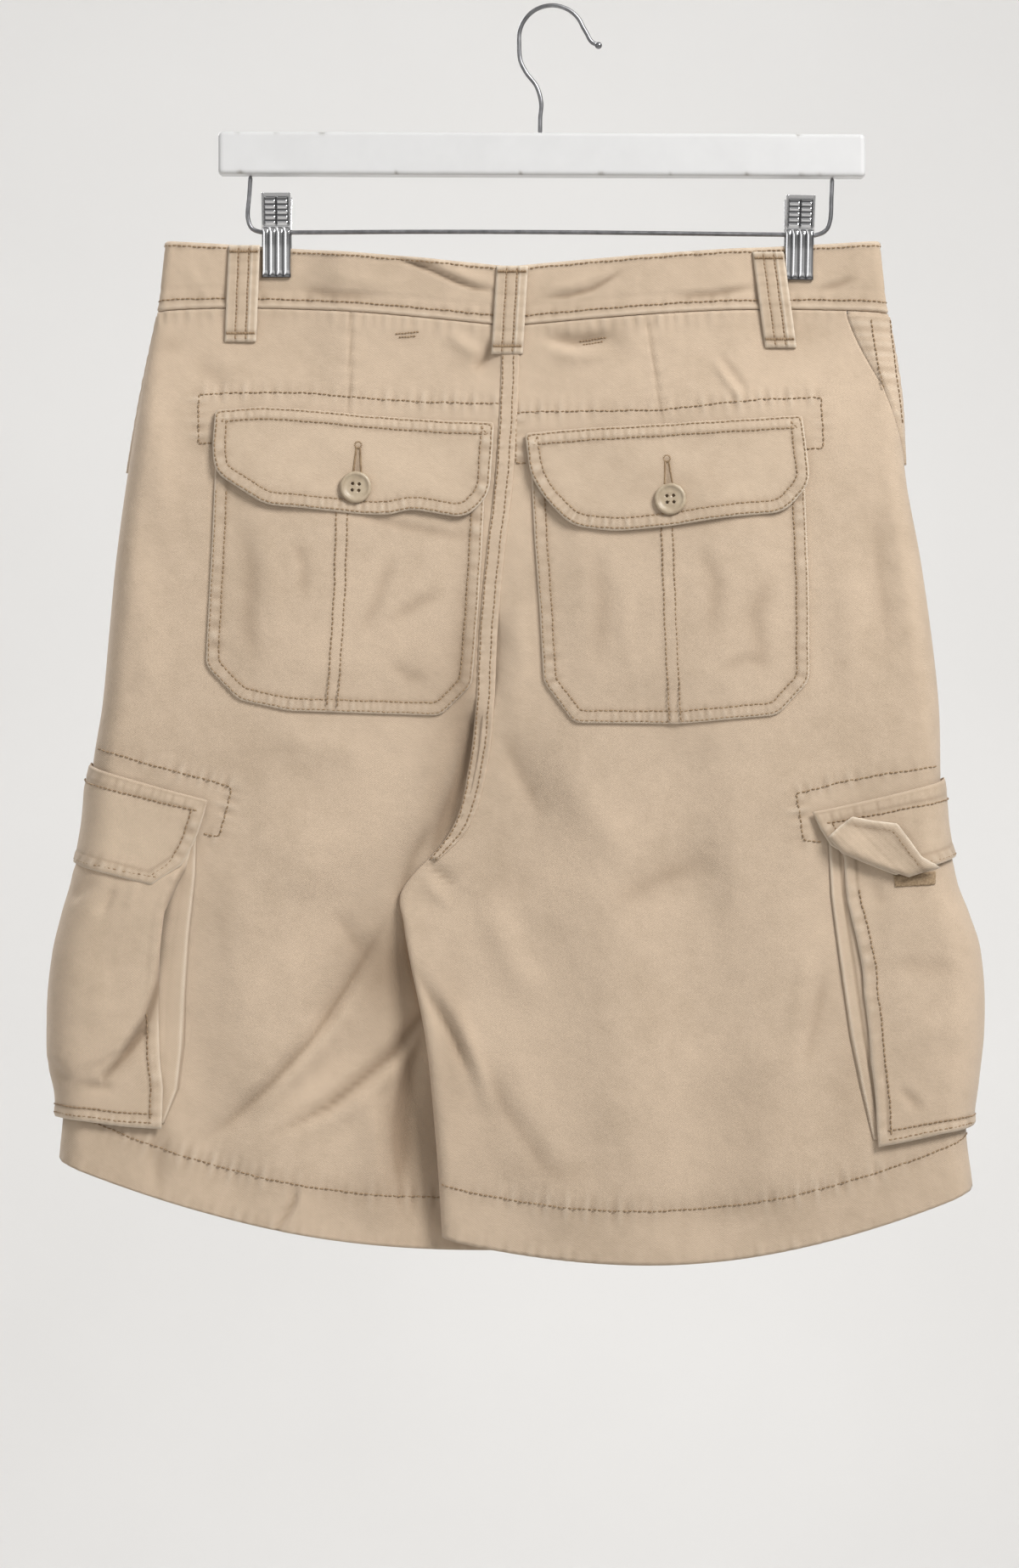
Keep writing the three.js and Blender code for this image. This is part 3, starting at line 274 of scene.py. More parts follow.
def across_half(q, reach, round_, tuck, closing):
    """The distance from the side edge, and the share of the depth, at each q."""
    u = np.abs(q)
    side_turn = np.clip(u / SIDE_SHARE, 0, 1) * np.pi / 2
    middle = (u - SIDE_SHARE) / (1 - INSEAM_SHARE - SIDE_SHARE)
    t = np.clip((u - 1 + INSEAM_SHARE) / INSEAM_SHARE, 0, 1)
    in_turn = (1 - t) * np.pi / 2
    across = np.where(
        u < SIDE_SHARE,
        round_ * (1 - np.cos(side_turn)),
        np.where(
            u < 1 - INSEAM_SHARE,
            lerp(round_, reach - tuck, middle),
            reach - tuck + tuck * lerp(t, np.cos(in_turn), closing),
        ),
    )
    swell = np.where(
        u < SIDE_SHARE, np.sin(side_turn), np.where(
            u < 1 - INSEAM_SHARE, 1, lerp(1, np.sin(in_turn), closing)
        )
    )
    return across, swell


def body_points(half, q, v, creases=()):
    """Points of the shorts' outer surface below the waist seam, in millimetres."""
    outward = -1 if half == "left" else 1
    side = np.where(q < 0, SEAT, FLY)
    out_x = column(half, "out_x", v)
    reach = np.abs(column(half, "in_x", v) - out_x)
    closing = smoothstep(*CROTCH, v)
    in_depth = column(half, "in_depth", v)
    tuck = lerp(8, 2 + in_depth, closing)
    across, swell = across_half(q, reach, column(half, "round", v), tuck, closing)
    share = across / reach
    x = out_x - outward * across
    rise = SEAT_RISE * np.sin(np.pi * np.clip(share, 0, 1) ** 0.8)
    drop = HEM_DROP[half] * np.maximum(np.sin(np.pi * share), 0) ** 0.85
    z = lerp(column(half, "out_z", v), column(half, "in_z", v), share) + lerp(rise, -drop, v)
    full = lerp(column(half, "depth", v), in_depth, smoothstep(0.45, 1, share))
    depth = lerp(band_depth(half, share, x, 0), full, smoothstep(0, 0.14, v))
    lean = column(half, "lean", v) * np.clip(share, 0, 1) ** 1.5
    fold = fold_rise(FOLDS, half, side, x, z) * swell * smoothstep(0, 0.05, v) * smoothstep(2, 14, depth)
    if len(creases):
        fold = fold + crease_rise(creases, half, side, x, z) * swell * smoothstep(0, 6, depth)
    return np.stack([x, lean + side * (depth * swell + fold), z], axis=-1)


def lap_lift(before):
    return 2.9 * smoothstep(18, 3, before)


def band_points(half, q, h, creases=()):
    """Points of the waistband's outer surface, in millimetres."""
    rows = SECTIONS[half]
    outward = -1 if half == "left" else 1
    side = np.where(q < 0, SEAT, FLY)
    out_x = lerp(rows[0, 1], BAND_TOP[half][0], h)
    in_x = lerp(rows[0, 3], BAND_CENTRE[0], h)
    reach = np.abs(in_x - out_x)
    across, swell = across_half(np.clip(q, -1, 1), reach, 6, 8, 0)
    lap = np.maximum(q - 1, 0) * reach
    share = across / reach
    x = out_x - outward * (across + lap)
    low = lerp(rows[0, 2], rows[0, 4], share) + SEAT_RISE * np.sin(np.pi * np.clip(share, 0, 1) ** 0.8)
    high = lerp(BAND_TOP[half][1], BAND_CENTRE[1], share) + BAND_RISE * np.sin(np.pi * share)
    depth = band_depth(half, share, x, h)
    if half == "left":
        depth = depth + np.where(q > 0, lap_lift(reach * (1 - share) - lap), 0)
    z = lerp(low + SEAM_GAP, high, h)
    if len(creases):
        depth = depth + crease_rise(creases, half, side, x, z)
    return np.stack([x, side * depth * swell, z], axis=-1)


def normals_of(points_at, half, q, v):
    """Unit normals of a surface, facing out."""
    step = 2e-3
    by_q = points_at(half, q + step, v) - points_at(half, q - step, v)
    by_v = points_at(half, q, v + step) - points_at(half, q, v - step)
    normal = np.cross(by_q, by_v)
    normal /= np.maximum(np.linalg.norm(normal, axis=-1, keepdims=True), 1e-9)
    outward = (-1 if points_at is band_points else 1) * (1 if half == "left" else -1)
    return normal * outward


def moved_out(points_at, half, q, v, out, creases=()):
    return points_at(half, q, v, creases) + normals_of(points_at, half, q, v) * np.asarray(out)[..., None]


def locate(points_at, half, side, x, z):
    """The q and v of the surface points that lie at x and z."""
    u = np.full_like(x, 0.5, dtype=float)
    v = np.full_like(x, 0.5, dtype=float)
    step = 1e-4
    for _ in range(14):
        at = points_at(half, side * u, v)
        by_u = (points_at(half, side * (u + step), v) - at) / step
        by_v = (points_at(half, side * u, v + step) - at) / step
        det = by_u[..., 0] * by_v[..., 2] - by_v[..., 0] * by_u[..., 2]
        miss_x = x - at[..., 0]
        miss_z = z - at[..., 2]
        du = (miss_x * by_v[..., 2] - miss_z * by_v[..., 0]) / det
        dv = (miss_z * by_u[..., 0] - miss_x * by_u[..., 2]) / det
        u = np.clip(u + np.clip(du, -0.2, 0.2), 0.005, 1.1)
        v = np.clip(v + np.clip(dv, -0.2, 0.2), -0.05, 1.05)
    return side * u, v


def seam_turn(half, v):
    return -SEAM_TURN[half] * (1 - np.clip(v / SEAM_TURN_END, 0, 1) ** 1.35)


# Distances to outlines and lines, for seams, worn edges and puckers

def line_distance(points, line):
    """Distance of each point from a polyline, and how far along it the nearest place is."""
    line = np.asarray(line, dtype=float)
    best = np.full(len(points), 1e9)
    along = np.zeros(len(points))
    run = 0.0
    for a, b in zip(line[:-1], line[1:]):
        d = b - a
        length = math.hypot(*d)
        t = np.clip(((points - a) @ d) / max(length * length, 1e-9), 0, 1)
        gap = np.linalg.norm(points - a - t[:, None] * d, axis=1)
        nearer = gap < best
        best = np.where(nearer, gap, best)
        along = np.where(nearer, run + t * length, along)
        run += length
    return best, along


def ripple(along, seed, pitch=8.0):
    """Uneven waves along a seam, from -1 to 1."""
    phase = seed * 1.7
    wave = np.sin(2 * np.pi * along / pitch + 1.3 * np.sin(along / 11.0 + phase) + phase)
    wave += 0.6 * np.sin(2 * np.pi * along / (pitch * 1.63) + 2.1 * phase)
    return wave / 1.6 * (0.65 + 0.35 * np.sin(along / 23.0 + phase * 3))


def levelness(line, along):
    """How level a polyline runs, from 0 to 1, at each length along it."""
    steps = np.diff(np.asarray(line, dtype=float), axis=0)
    lengths = np.linalg.norm(steps, axis=1)
    level = np.abs(steps[:, 0]) / np.maximum(lengths, 1e-9)
    run = np.cumsum(lengths) - lengths / 2
    return smoothstep(0.35, 0.9, np.interp(along, run, level))


def puckers(line, along, seed):
    """Waves along a seam: close together where it runs level, far apart where it runs down."""
    return lerp(ripple(along, seed, 9.0), ripple(along, seed + 3, 4.3), levelness(line, along))


def closed_line(outline):
    return np.vstack([outline, outline[:1]])


def smooth_line(line, step=2.0):
    """A polyline resampled at even steps."""
    line = np.asarray(line, dtype=float)
    lengths = np.linalg.norm(np.diff(line, axis=0), axis=1)
    run = np.concatenate([[0], np.cumsum(lengths)])
    count = max(int(round(run[-1] / step)), 1)
    at = np.linspace(0, run[-1], count + 1)
    return np.stack([np.interp(at, run, line[:, k]) for k in range(line.shape[1])], axis=1)


def rounded(outline, radius, sharp_above=1e9, sharp_radius=1.5):
    """A closed outline with its corners rounded; corners above a height get the smaller radius."""
    outline = np.asarray(outline, dtype=float)
    made = []
    for k, corner in enumerate(outline):
        size = sharp_radius if corner[1] > sharp_above else radius
        before, after = outline[k - 1], outline[(k + 1) % len(outline)]
        back, ahead = before - corner, after - corner
        reach = min(size, 0.45 * np.linalg.norm(back), 0.45 * np.linalg.norm(ahead))
        a = corner + back / np.linalg.norm(back) * reach
        b = corner + ahead / np.linalg.norm(ahead) * reach
        for t in (0, 0.25, 0.5, 0.75, 1):
            made.append((1 - t) ** 2 * a + 2 * t * (1 - t) * corner + t * t * b)
    return np.array(made)


def inset(outline, distance):
    """A closed outline moved inwards."""
    outline = np.asarray(outline, dtype=float)
    x, z = outline[:, 0], outline[:, 1]
    area = 0.5 * np.sum(x * np.roll(z, -1) - np.roll(x, -1) * z)
    turn = 1 if area > 0 else -1
    before = outline - np.roll(outline, 1, axis=0)
    after = np.roll(outline, -1, axis=0) - outline
    before /= np.linalg.norm(before, axis=1, keepdims=True)
    after /= np.linalg.norm(after, axis=1, keepdims=True)
    n1 = np.stack([-before[:, 1], before[:, 0]], axis=1) * turn
    n2 = np.stack([-after[:, 1], after[:, 0]], axis=1) * turn
    mitre = n1 + n2
    mitre /= np.maximum(np.sum(mitre * n1, axis=1, keepdims=True), 0.3)
    return outline + mitre * distance


# Meshes

def make_mesh(name, points, faces, flat=None, wear=None, shade=None):
    """A mesh object from points in millimetres, with flat positions as its UV map."""
    mesh = bpy.data.meshes.new(name)
    mesh.from_pydata((np.asarray(points) * MM).tolist(), [], [list(map(int, face)) for face in faces])
    mesh.validate()
    mesh.polygons.foreach_set("use_smooth", np.ones(len(mesh.polygons), dtype=bool))
    if flat is not None:
        layer = mesh.uv_layers.new(name="UVMap")
        loops = np.empty(len(mesh.loops), dtype=np.int32)
        mesh.loops.foreach_get("vertex_index", loops)
        layer.data.foreach_set("uv", (np.asarray(flat)[loops] * MM).astype(np.float32).ravel())
    # The wear attribute holds worn places and, on the clips, painted dark reflection; the shade attribute
    # holds painted shade and shadow, with a few stains.
    for label, values in (("wear", wear), ("shade", shade)):
        attribute = mesh.attributes.new(label, "FLOAT", "POINT")
        data = np.zeros(len(points)) if values is None else values
        attribute.data.foreach_set("value", np.asarray(data, dtype=np.float32))
    piece = bpy.data.objects.new(name, mesh)
    bpy.context.scene.collection.objects.link(piece)
    return piece


def turned_out(points, faces):
    """Faces turned so that the closed mesh faces out."""
    p = np.asarray(points)
    a, b, c = p[[f[0] for f in faces]], p[[f[1] for f in faces]], p[[f[2] for f in faces]]
    volume = np.sum(a * np.cross(b, c))
    return [f[::-1] for f in faces] if volume < 0 else faces


def wall_from_grid(name, upper, lower, flat, wear=None, shade=None):
    """A closed wall between two grids of points of the same size."""
    rows, columns = upper.shape[:2]
    base = rows * columns
    index = np.arange(base).reshape(rows, columns)
    quads = np.stack(
        [index[:-1, :-1], index[:-1, 1:], index[1:, 1:], index[1:, :-1]], axis=-1
    ).reshape(-1, 4)
    rim = np.concatenate([index[0, :-1], index[:-1, -1], index[-1, :0:-1], index[:0:-1, 0]])
    after = np.roll(rim, -1)
    sides = np.stack([rim, rim + base, after + base, after], axis=-1)
    faces = np.vstack([quads, quads[:, ::-1] + base, sides])
    points = np.vstack([upper.reshape(-1, 3), lower.reshape(-1, 3)])
    flats = np.vstack([flat.reshape(-1, 2)] * 2)
    doubled = [
        None if values is None else np.tile(np.asarray(values).reshape(-1), 2) for values in (wear, shade)
    ]
    ordered = turned_out(points, faces.tolist())
    return make_mesh(name, points, ordered, flats, *doubled)


EDGE_RINGS = (0.45, 1.3, 2.6, 3.9, 5.2, 6.5, 7.8)
RING_STEP = 1.4


def filled_outline(outline, spacing):
    """Triangles over an outline, with points along its edge and over its inside."""
    edge = smooth_line(closed_line(np.asarray(outline, dtype=float)), spacing)[:-1]
    rings = [edge]
    for distance in EDGE_RINGS:
        rings.append(smooth_line(closed_line(inset(outline, distance)), min(spacing, RING_STEP))[:-1])
    low, high = edge.min(axis=0), edge.max(axis=0)
    gx, gz = np.meshgrid(np.arange(low[0], high[0], spacing), np.arange(low[1], high[1], spacing))
    gx = gx + 0.5 * spacing * (np.arange(gx.shape[0]) % 2)[:, None]
    inside = np.stack([gx.ravel(), gz.ravel()], axis=1)
    keep = (
        inside_outline(inside, outline)
        & (line_distance(inside, closed_line(outline))[0] > EDGE_RINGS[-1] + 1)
    )
    points = np.vstack(rings + [inside[keep]])
    edges = [(i, (i + 1) % len(edge)) for i in range(len(edge))]
    made = geometry.delaunay_2d_cdt([Vector(p) for p in points.tolist()], edges, [], 1, 1e-3)
    flat = np.array([tuple(p) for p in made[0]])
    return flat, [list(f) for f in made[2]]


def inside_outline(points, outline):
    outline = np.asarray(outline, dtype=float)
    inside = np.zeros(len(points), dtype=bool)
    for a, b in zip(outline, np.roll(outline, -1, axis=0)):
        crosses = (a[1] > points[:, 1]) != (b[1] > points[:, 1])
        at = (b[0] - a[0]) * (points[:, 1] - a[1]) / ((b[1] - a[1]) or 1e-9) + a[0]
        inside ^= crosses & (points[:, 0] < at)
    return inside


def wall_from_flat(name, flat, faces, upper, lower, wear=None, shade=None):
    """A closed wall over a flat triangulation, between upper and lower points."""
    count = len(flat)
    sides = {}
    for f in faces:
        for a, b in zip(f, f[1:] + f[:1]):
            if (b, a) in sides:
                del sides[(b, a)]
            else:
                sides[(a, b)] = True
    under = [[i + count for i in f[::-1]] for f in faces]
    rim = [[b, a, a + count, b + count] for a, b in sides]
    points = np.vstack([upper, lower])
    doubled = [None if values is None else np.tile(np.asarray(values), 2) for values in (wear, shade)]
    ordered = turned_out(points, faces + under + rim)
    return make_mesh(name, points, ordered, np.vstack([flat, flat]), *doubled)


# Materials

def node_material(name):
    material = bpy.data.materials.new(name)
    material.use_nodes = True
    tree = material.node_tree
    tree.nodes.clear()
    out = tree.nodes.new("ShaderNodeOutputMaterial")
    shader = tree.nodes.new("ShaderNodeBsdfPrincipled")
    tree.links.new(shader.outputs["BSDF"], out.inputs["Surface"])
    return material, tree, shader


def add_node(tree, kind, **values):
    node = tree.nodes.new(kind)
    for key, value in values.items():
        if key in node.inputs:
            node.inputs[key].default_value = value
        else:
            setattr(node, key, value)
    return node


def noise(tree, source, scale, detail=3.0, roughness=0.55):
    node = add_node(tree, "ShaderNodeTexNoise", Scale=scale, Detail=detail, Roughness=roughness)
    tree.links.new(source, node.inputs["Vector"])
    return node.outputs["Fac"]


def ramp(tree, source, stops):
    node = tree.nodes.new("ShaderNodeValToRGB")
    elements = node.color_ramp.elements
    while len(elements) < len(stops):
        elements.new(0.5)
    for element, (at, color) in zip(elements, stops):
        element.position = at
        element.color = (*color, 1) if len(color) == 3 else color
    tree.links.new(source, node.inputs["Fac"])
    return node.outputs["Color"]


def mix_color(tree, factor, a, b, blend="MIX"):
    node = tree.nodes.new("ShaderNodeMix")
    node.data_type = "RGBA"
    node.blend_type = blend
    for value, socket in ((factor, node.inputs[0]), (a, node.inputs[6]), (b, node.inputs[7])):
        if isinstance(value, (int, float)):
            socket.default_value = value
        elif isinstance(value, tuple):
            socket.default_value = (*value, 1)
        else:
            tree.links.new(value, socket)
    return node.outputs[2]


def math_node(tree, operation, a, b=None, clamp=False):
    node = tree.nodes.new("ShaderNodeMath")
    node.operation = operation
    node.use_clamp = clamp
    for value, socket in ((a, node.inputs[0]), (b, node.inputs[1])):
        if value is None:
            continue
        if isinstance(value, (int, float)):
            socket.default_value = value
        else:
            tree.links.new(value, socket)
    return node.outputs[0]


def attribute(tree, name):
    return add_node(tree, "ShaderNodeAttribute", attribute_name=name).outputs["Fac"]


def bump(tree, shader, height, strength, distance):
    node = add_node(tree, "ShaderNodeBump", Strength=strength, Distance=distance)
    tree.links.new(height, node.inputs["Height"])
    tree.links.new(node.outputs["Normal"], shader.inputs["Normal"])


def twill(name, base, dark, worn, weave_pitch=0.0008):
    """Washed cotton twill: slanting ribs, cloudy fading, lighter worn places, and darker places that are
    mostly painted shade in creases, hollows, seams and pucker troughs, with a few stains.
    """
    material, tree, shader = node_material(name)
    uv = tree.nodes.new("ShaderNodeTexCoord").outputs["UV"]
    position = tree.nodes.new("ShaderNodeTexCoord").outputs["Object"]
    clouds = noise(tree, position, 14.0, 4.0)
    mottle = noise(tree, position, 95.0, 5.0, 0.65)
    fibre = noise(tree, uv, 900.0, 2.0)
    mixed = math_node(
        tree, "ADD", math_node(tree, "MULTIPLY", clouds, 0.55), math_node(tree, "MULTIPLY", mottle, 0.45)
    )
    light = tuple(min(1.06 * c, 1) for c in base)
    ground = ramp(tree, mixed, [(0.36, dark), (0.5, base), (0.64, light)])
    wear_noise = math_node(tree, "MULTIPLY", attribute(tree, "wear"), math_node(tree, "ADD", mottle, 0.45))
    color = mix_color(tree, math_node(tree, "MULTIPLY", wear_noise, 0.8, clamp=True), ground, worn)
    # Painted shade: the shade attribute darkens the cloth towards this colour in creases, hollows, grooves
    # and pucker troughs, and at a few stains.
    stain_and_shade_color = tuple(share * c for share, c in zip((0.44, 0.38, 0.32), dark))
    color = mix_color(
        tree, math_node(tree, "MULTIPLY", attribute(tree, "shade"), 0.72, clamp=True), color, stain_and_shade_color
    )
    turned = add_node(tree, "ShaderNodeMapping", Rotation=(0, 0, math.radians(62)))
    tree.links.new(uv, turned.inputs["Vector"])
    ribs = add_node(
        tree, "ShaderNodeTexWave", Scale=2 * math.pi / (20 * weave_pitch),
        Distortion=1.2, Detail=1.0,
    )
    ribs.wave_profile = "SIN"
    tree.links.new(turned.outputs["Vector"], ribs.inputs["Vector"])
    ribbed = mix_color(tree, 0.10, color, ribs.outputs["Color"], "OVERLAY")
    speckle = ramp(tree, fibre, [(0.35, (0.86, 0.86, 0.86)), (0.65, (1.0, 1.0, 1.0))])
    ribbed = mix_color(tree, 0.6, ribbed, speckle, "MULTIPLY")
    tree.links.new(ribbed, shader.inputs["Base Color"])
    shader.inputs["Roughness"].default_value = 0.88
    shader.inputs["Specular IOR Level"].default_value = 0.25
    shader.inputs["Sheen Weight"].default_value = 0.18
    shader.inputs["Sheen Roughness"].default_value = 0.6
    wrinkles = noise(tree, position, 34.0, 3.0)
    fine = math_node(tree, "ADD", math_node(tree, "MULTIPLY", ribs.outputs["Fac"], 0.3), mottle)
    height = math_node(tree, "ADD", fine, math_node(tree, "MULTIPLY", wrinkles, 5.0))
    bump(tree, shader, height, 0.55, 0.0005)
    return material


def thread_material():
    material, tree, shader = node_material("thread")
    position = tree.nodes.new("ShaderNodeTexCoord").outputs["Object"]
    grain = noise(tree, position, 400.0, 3.0)
    tree.links.new(
        ramp(tree, grain, [(0.3, (0.23, 0.145, 0.075)), (0.7, (0.38, 0.265, 0.155))]),
        shader.inputs["Base Color"]
    )
    shader.inputs["Roughness"].default_value = 0.7
    bump(tree, shader, grain, 0.3, 0.0002)
    return material


TWILL = twill("twill_khaki", (0.565, 0.438, 0.318), (0.515, 0.397, 0.284), (0.72, 0.61, 0.48))
THREAD = thread_material()


def finish_piece(piece, material, replaced=()):
    piece.data.materials.append(material)
    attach(piece, "root")
    if replaced:
        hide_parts(*replaced)
    return piece


# Stitches

STITCH_PITCH = 2.9
STITCH_LONG = 2.2
STITCH_WIDE = 0.42


class Stitches:
    """Gathers stitches and joins them into one mesh."""

    def __init__(self, name):
        self.name = name
        self.points = []
        self.faces = []
        self.count = 0

    def add(self, places, normals):
        """One stitch from each place to the next, with a gap between them."""
        if len(places) < 2:
            return
        start, end = places[:-1], places[1:]
        sway = 0.22 * np.sin(np.arange(len(places)) * 2.4) + 0.16 * np.sin(np.arange(len(places)) * 0.7)
        across = np.cross(end - start, normals[:-1])
        across /= np.maximum(np.linalg.norm(across, axis=1, keepdims=True), 1e-9)
        start = start + across * sway[:-1, None]
        end = end + across * sway[1:, None]
        along = end - start
        length = np.linalg.norm(along, axis=1, keepdims=True)
        keep = (length[:, 0] > 0.5) & (length[:, 0] < 8)
        start, end, along, length = start[keep], end[keep], along[keep], length[keep]
        normal = normals[:-1][keep]
        direction = along / length
        side = np.cross(direction, normal)
        side /= np.maximum(np.linalg.norm(side, axis=1, keepdims=True), 1e-9)
        middle = (start + end) / 2
        half_long = length * (STITCH_LONG / STITCH_PITCH) / 2
        rings = []
        for share, wide, high in ((-1, 0.45, -0.25), (-0.55, 1, 0.3), (0.55, 1, 0.3), (1, 0.45, -0.25)):
            centre = middle + direction * half_long * share + normal * high * STITCH_WIDE
            rings.append(centre + side * STITCH_WIDE * wide)
            rings.append(centre + normal * STITCH_WIDE * wide)
            rings.append(centre - side * STITCH_WIDE * wide)
            rings.append(centre - normal * STITCH_WIDE * wide)
        block = np.stack(rings, axis=1)
        base = self.count + np.arange(len(block))[:, None] * 16
        quads = [(0, 1, 2, 3)]
        for ring in range(3):
            a = ring * 4
            quads += [(a + k, a + 4 + k, a + 4 + (k + 1) % 4, a + (k + 1) % 4) for k in range(4)]
        quads.append((15, 14, 13, 12))
        self.faces.append((base[:, None, :] + np.array(quads)[None, :, :]).reshape(-1, 4))
        self.points.append(block.reshape(-1, 3))
        self.count += len(block) * 16

    def build(self):
        points = np.vstack(self.points)
        faces = np.vstack(self.faces)
        piece = make_mesh(self.name, points, faces.tolist(), points[:, [0, 2]])
        return finish_piece(piece, THREAD)


# The panels

PANEL_STEP = {SEAT: 2.0, FLY: 4.8}
# Painted shade in the crease troughs, and narrower copies of the creases that paint a darker shade line down
# their middles.
HOLLOW_SHADE = 0.35
CREASE_SHADE_LINES = [(half, side, line, width * 0.4, depth) for half, side, line, width, depth in CREASES]
PANEL_NAMES = {SEAT: "back", FLY: "front"}


def across_shares(step):
    """Shares across a panel, closer together round its side edge and its inseam."""
    side = np.linspace(0, SIDE_SHARE, 14)[:-1]
    middle = np.linspace(SIDE_SHARE, 1 - INSEAM_SHARE, int(250 / step))[:-1]
    inner = np.linspace(1 - INSEAM_SHARE, 1, 9)
    return np.concatenate([side, middle, inner])


def panel_detail(half, side, points):
    """Puckers and seam ridges of a panel, at each flat point, with its wear and its painted shade."""
    rise = np.zeros(len(points))
    wear = np.zeros(len(points))
    shade = np.zeros(len(points))
    for seed, (line, width, height, worn) in enumerate(PANEL_SEAMS.get((half, side), ())):
        gap, along = line_distance(points, line)
        near = np.exp(-((gap / width) ** 2))
        waves = ripple(along, seed + 1, 6.4)
        rise += height * near * waves
        wear += worn * near * np.clip(waves, 0, 1)
        # Painted shade along the seams and in the pucker troughs.
        shade += 0.5 * worn * near * np.clip(-waves, 0, 1) + 0.25 * worn * near
    if side == SEAT:
        gap, along = line_distance(points, DARTS[half])
        rise += 0.7 * (smoothstep(0, 2.2, gap) - 1) * smoothstep(60, 40, along)
        rise += 0.5 * ripple(along, 31, 9.0) * np.exp(-((gap / 5) ** 2)) * smoothstep(70, 40, along)
        # Painted shade down the dart's groove.
        shade += 0.55 * np.exp(-((gap / 0.9) ** 2))
    return rise, np.clip(wear, 0, 1), np.clip(shade, 0, 1)


def shade_at(half, points):
    """The soft dark places of a half's seat side: painted shadow and shade, and a few stains."""
    shade = np.zeros(len(points))
    for name, x, z, reach_x, reach_z, share in SHADE_AND_STAIN_SPOTS:
        if name == half:
            gap = np.hypot((points[:, 0] - x) / reach_x, (points[:, 1] - z) / reach_z)
            shade += share * np.exp(-(gap**2))
    return shade


def offset_curve(half, side, u_or_v, value, count=60):
    """A line of constant u (share across) or v on a panel, as flat points."""
    t = np.linspace(0.002, 0.998, count)
    full = np.full(count, float(value))
    q, v = (side * full, t) if u_or_v == "u" else (side * t, full)
    return body_points(half, q, v)[:, [0, 2]]


def centre_line(half, side, inset_mm):
    """A line beside the centre seam, down to the crotch."""
    v = np.linspace(0.004, 0.715, 60)
    reach = np.abs(column(half, "in_x", v) - column(half, "out_x", v))
    u = 1 - (inset_mm / 8) * INSEAM_SHARE
    return body_points(half, side * np.full_like(v, u), v)[:, [0, 2]]


def above_hem(half, q, raise_mm):
    """The v that lies a height above the hem's edge."""
    low = body_points(half, q, np.ones_like(q))[..., 2]
    high = body_points(half, q, np.full_like(q, 0.95))[..., 2]
    return 1 - 0.05 * raise_mm / (high - low)


def hem_line(half, side, raise_mm):
    q = side * np.linspace(0.02, 0.985, 90)
    return body_points(half, q, above_hem(half, q, raise_mm))[:, [0, 2]]


PANEL_SEAMS = {}
for half_name in ("left", "right"):
    for side_name in (SEAT, FLY):
        PANEL_SEAMS[half_name, side_name] = [
            (centre_line(half_name, side_name, 2.0), 4.5, 0.35, 0.2),
            (hem_line(half_name, side_name, HEM_TALL), 7, 1.0, 0.55),
            (hem_line(half_name, side_name, 1.5), 5, 0.7, 0.35),
            (offset_curve(half_name, side_name, "v", 0.002), 7, 0.6, 0.2),
        ]


def build_panel(half, side):
    step = PANEL_STEP[side]
    shares = across_shares(step)
    levels = np.concatenate([
        np.linspace(0, HEM_LINE - 0.002, int(525 / step)),
        np.linspace(HEM_LINE + 0.002, 1, int(30 / step) + 2),
    ])
    v = np.repeat(levels[:, None], len(shares), axis=1)
    seam = seam_turn(half, v) + side * 0.0009
    end = side * (1 - 0.0002)
    q = lerp(seam, end, shares[None, :])
    smooth = body_points(half, q, v, CREASES)
    flat = body_points(half, q, v)[..., [0, 2]].reshape(-1, 2)
    rise, wear, shade = panel_detail(half, side, flat)
    on_side = np.full(len(flat), side)
    # Painted shade: darker in the crease troughs, darker still down their middles, and in the soft dark
    # spots.
    shade += HOLLOW_SHADE * np.clip(-crease_rise(CREASES, half, on_side, flat[:, 0], flat[:, 1]) / 4.5, 0, 1)
    sharp = crease_rise(CREASE_SHADE_LINES, half, on_side, flat[:, 0], flat[:, 1])
    shade += 0.55 * np.clip(-sharp / 4.5, 0, 1)
    if side == SEAT:
        shade += shade_at(half, flat)
    shade = np.clip(shade, 0, 1)
    inner = np.where(v > HEM_LINE, -2.1, -CLOTH)
    normals = normals_of(body_points, half, q, v)
    edge = np.minimum(1 - np.abs(q), 1.0)
    fade = smoothstep(0, 0.02, edge) * smoothstep(0, 0.03, np.abs(q - seam))
    upper = smooth + normals * (rise.reshape(v.shape) * fade)[..., None]
    lower = upper + normals * inner[..., None]
    roll = smoothstep(0, 0.008, 1 - v)
    lower = upper + (lower - upper) * lerp(0.55, 1, roll)[..., None]
    piece = wall_from_grid(
        f"cloth_{PANEL_NAMES[side]}_{half}", upper, lower, flat.reshape(*v.shape, 2), wear, shade
    )
    finish_piece(piece, TWILL, [f"{PANEL_NAMES[side]}_panel_{half}"])
    return piece


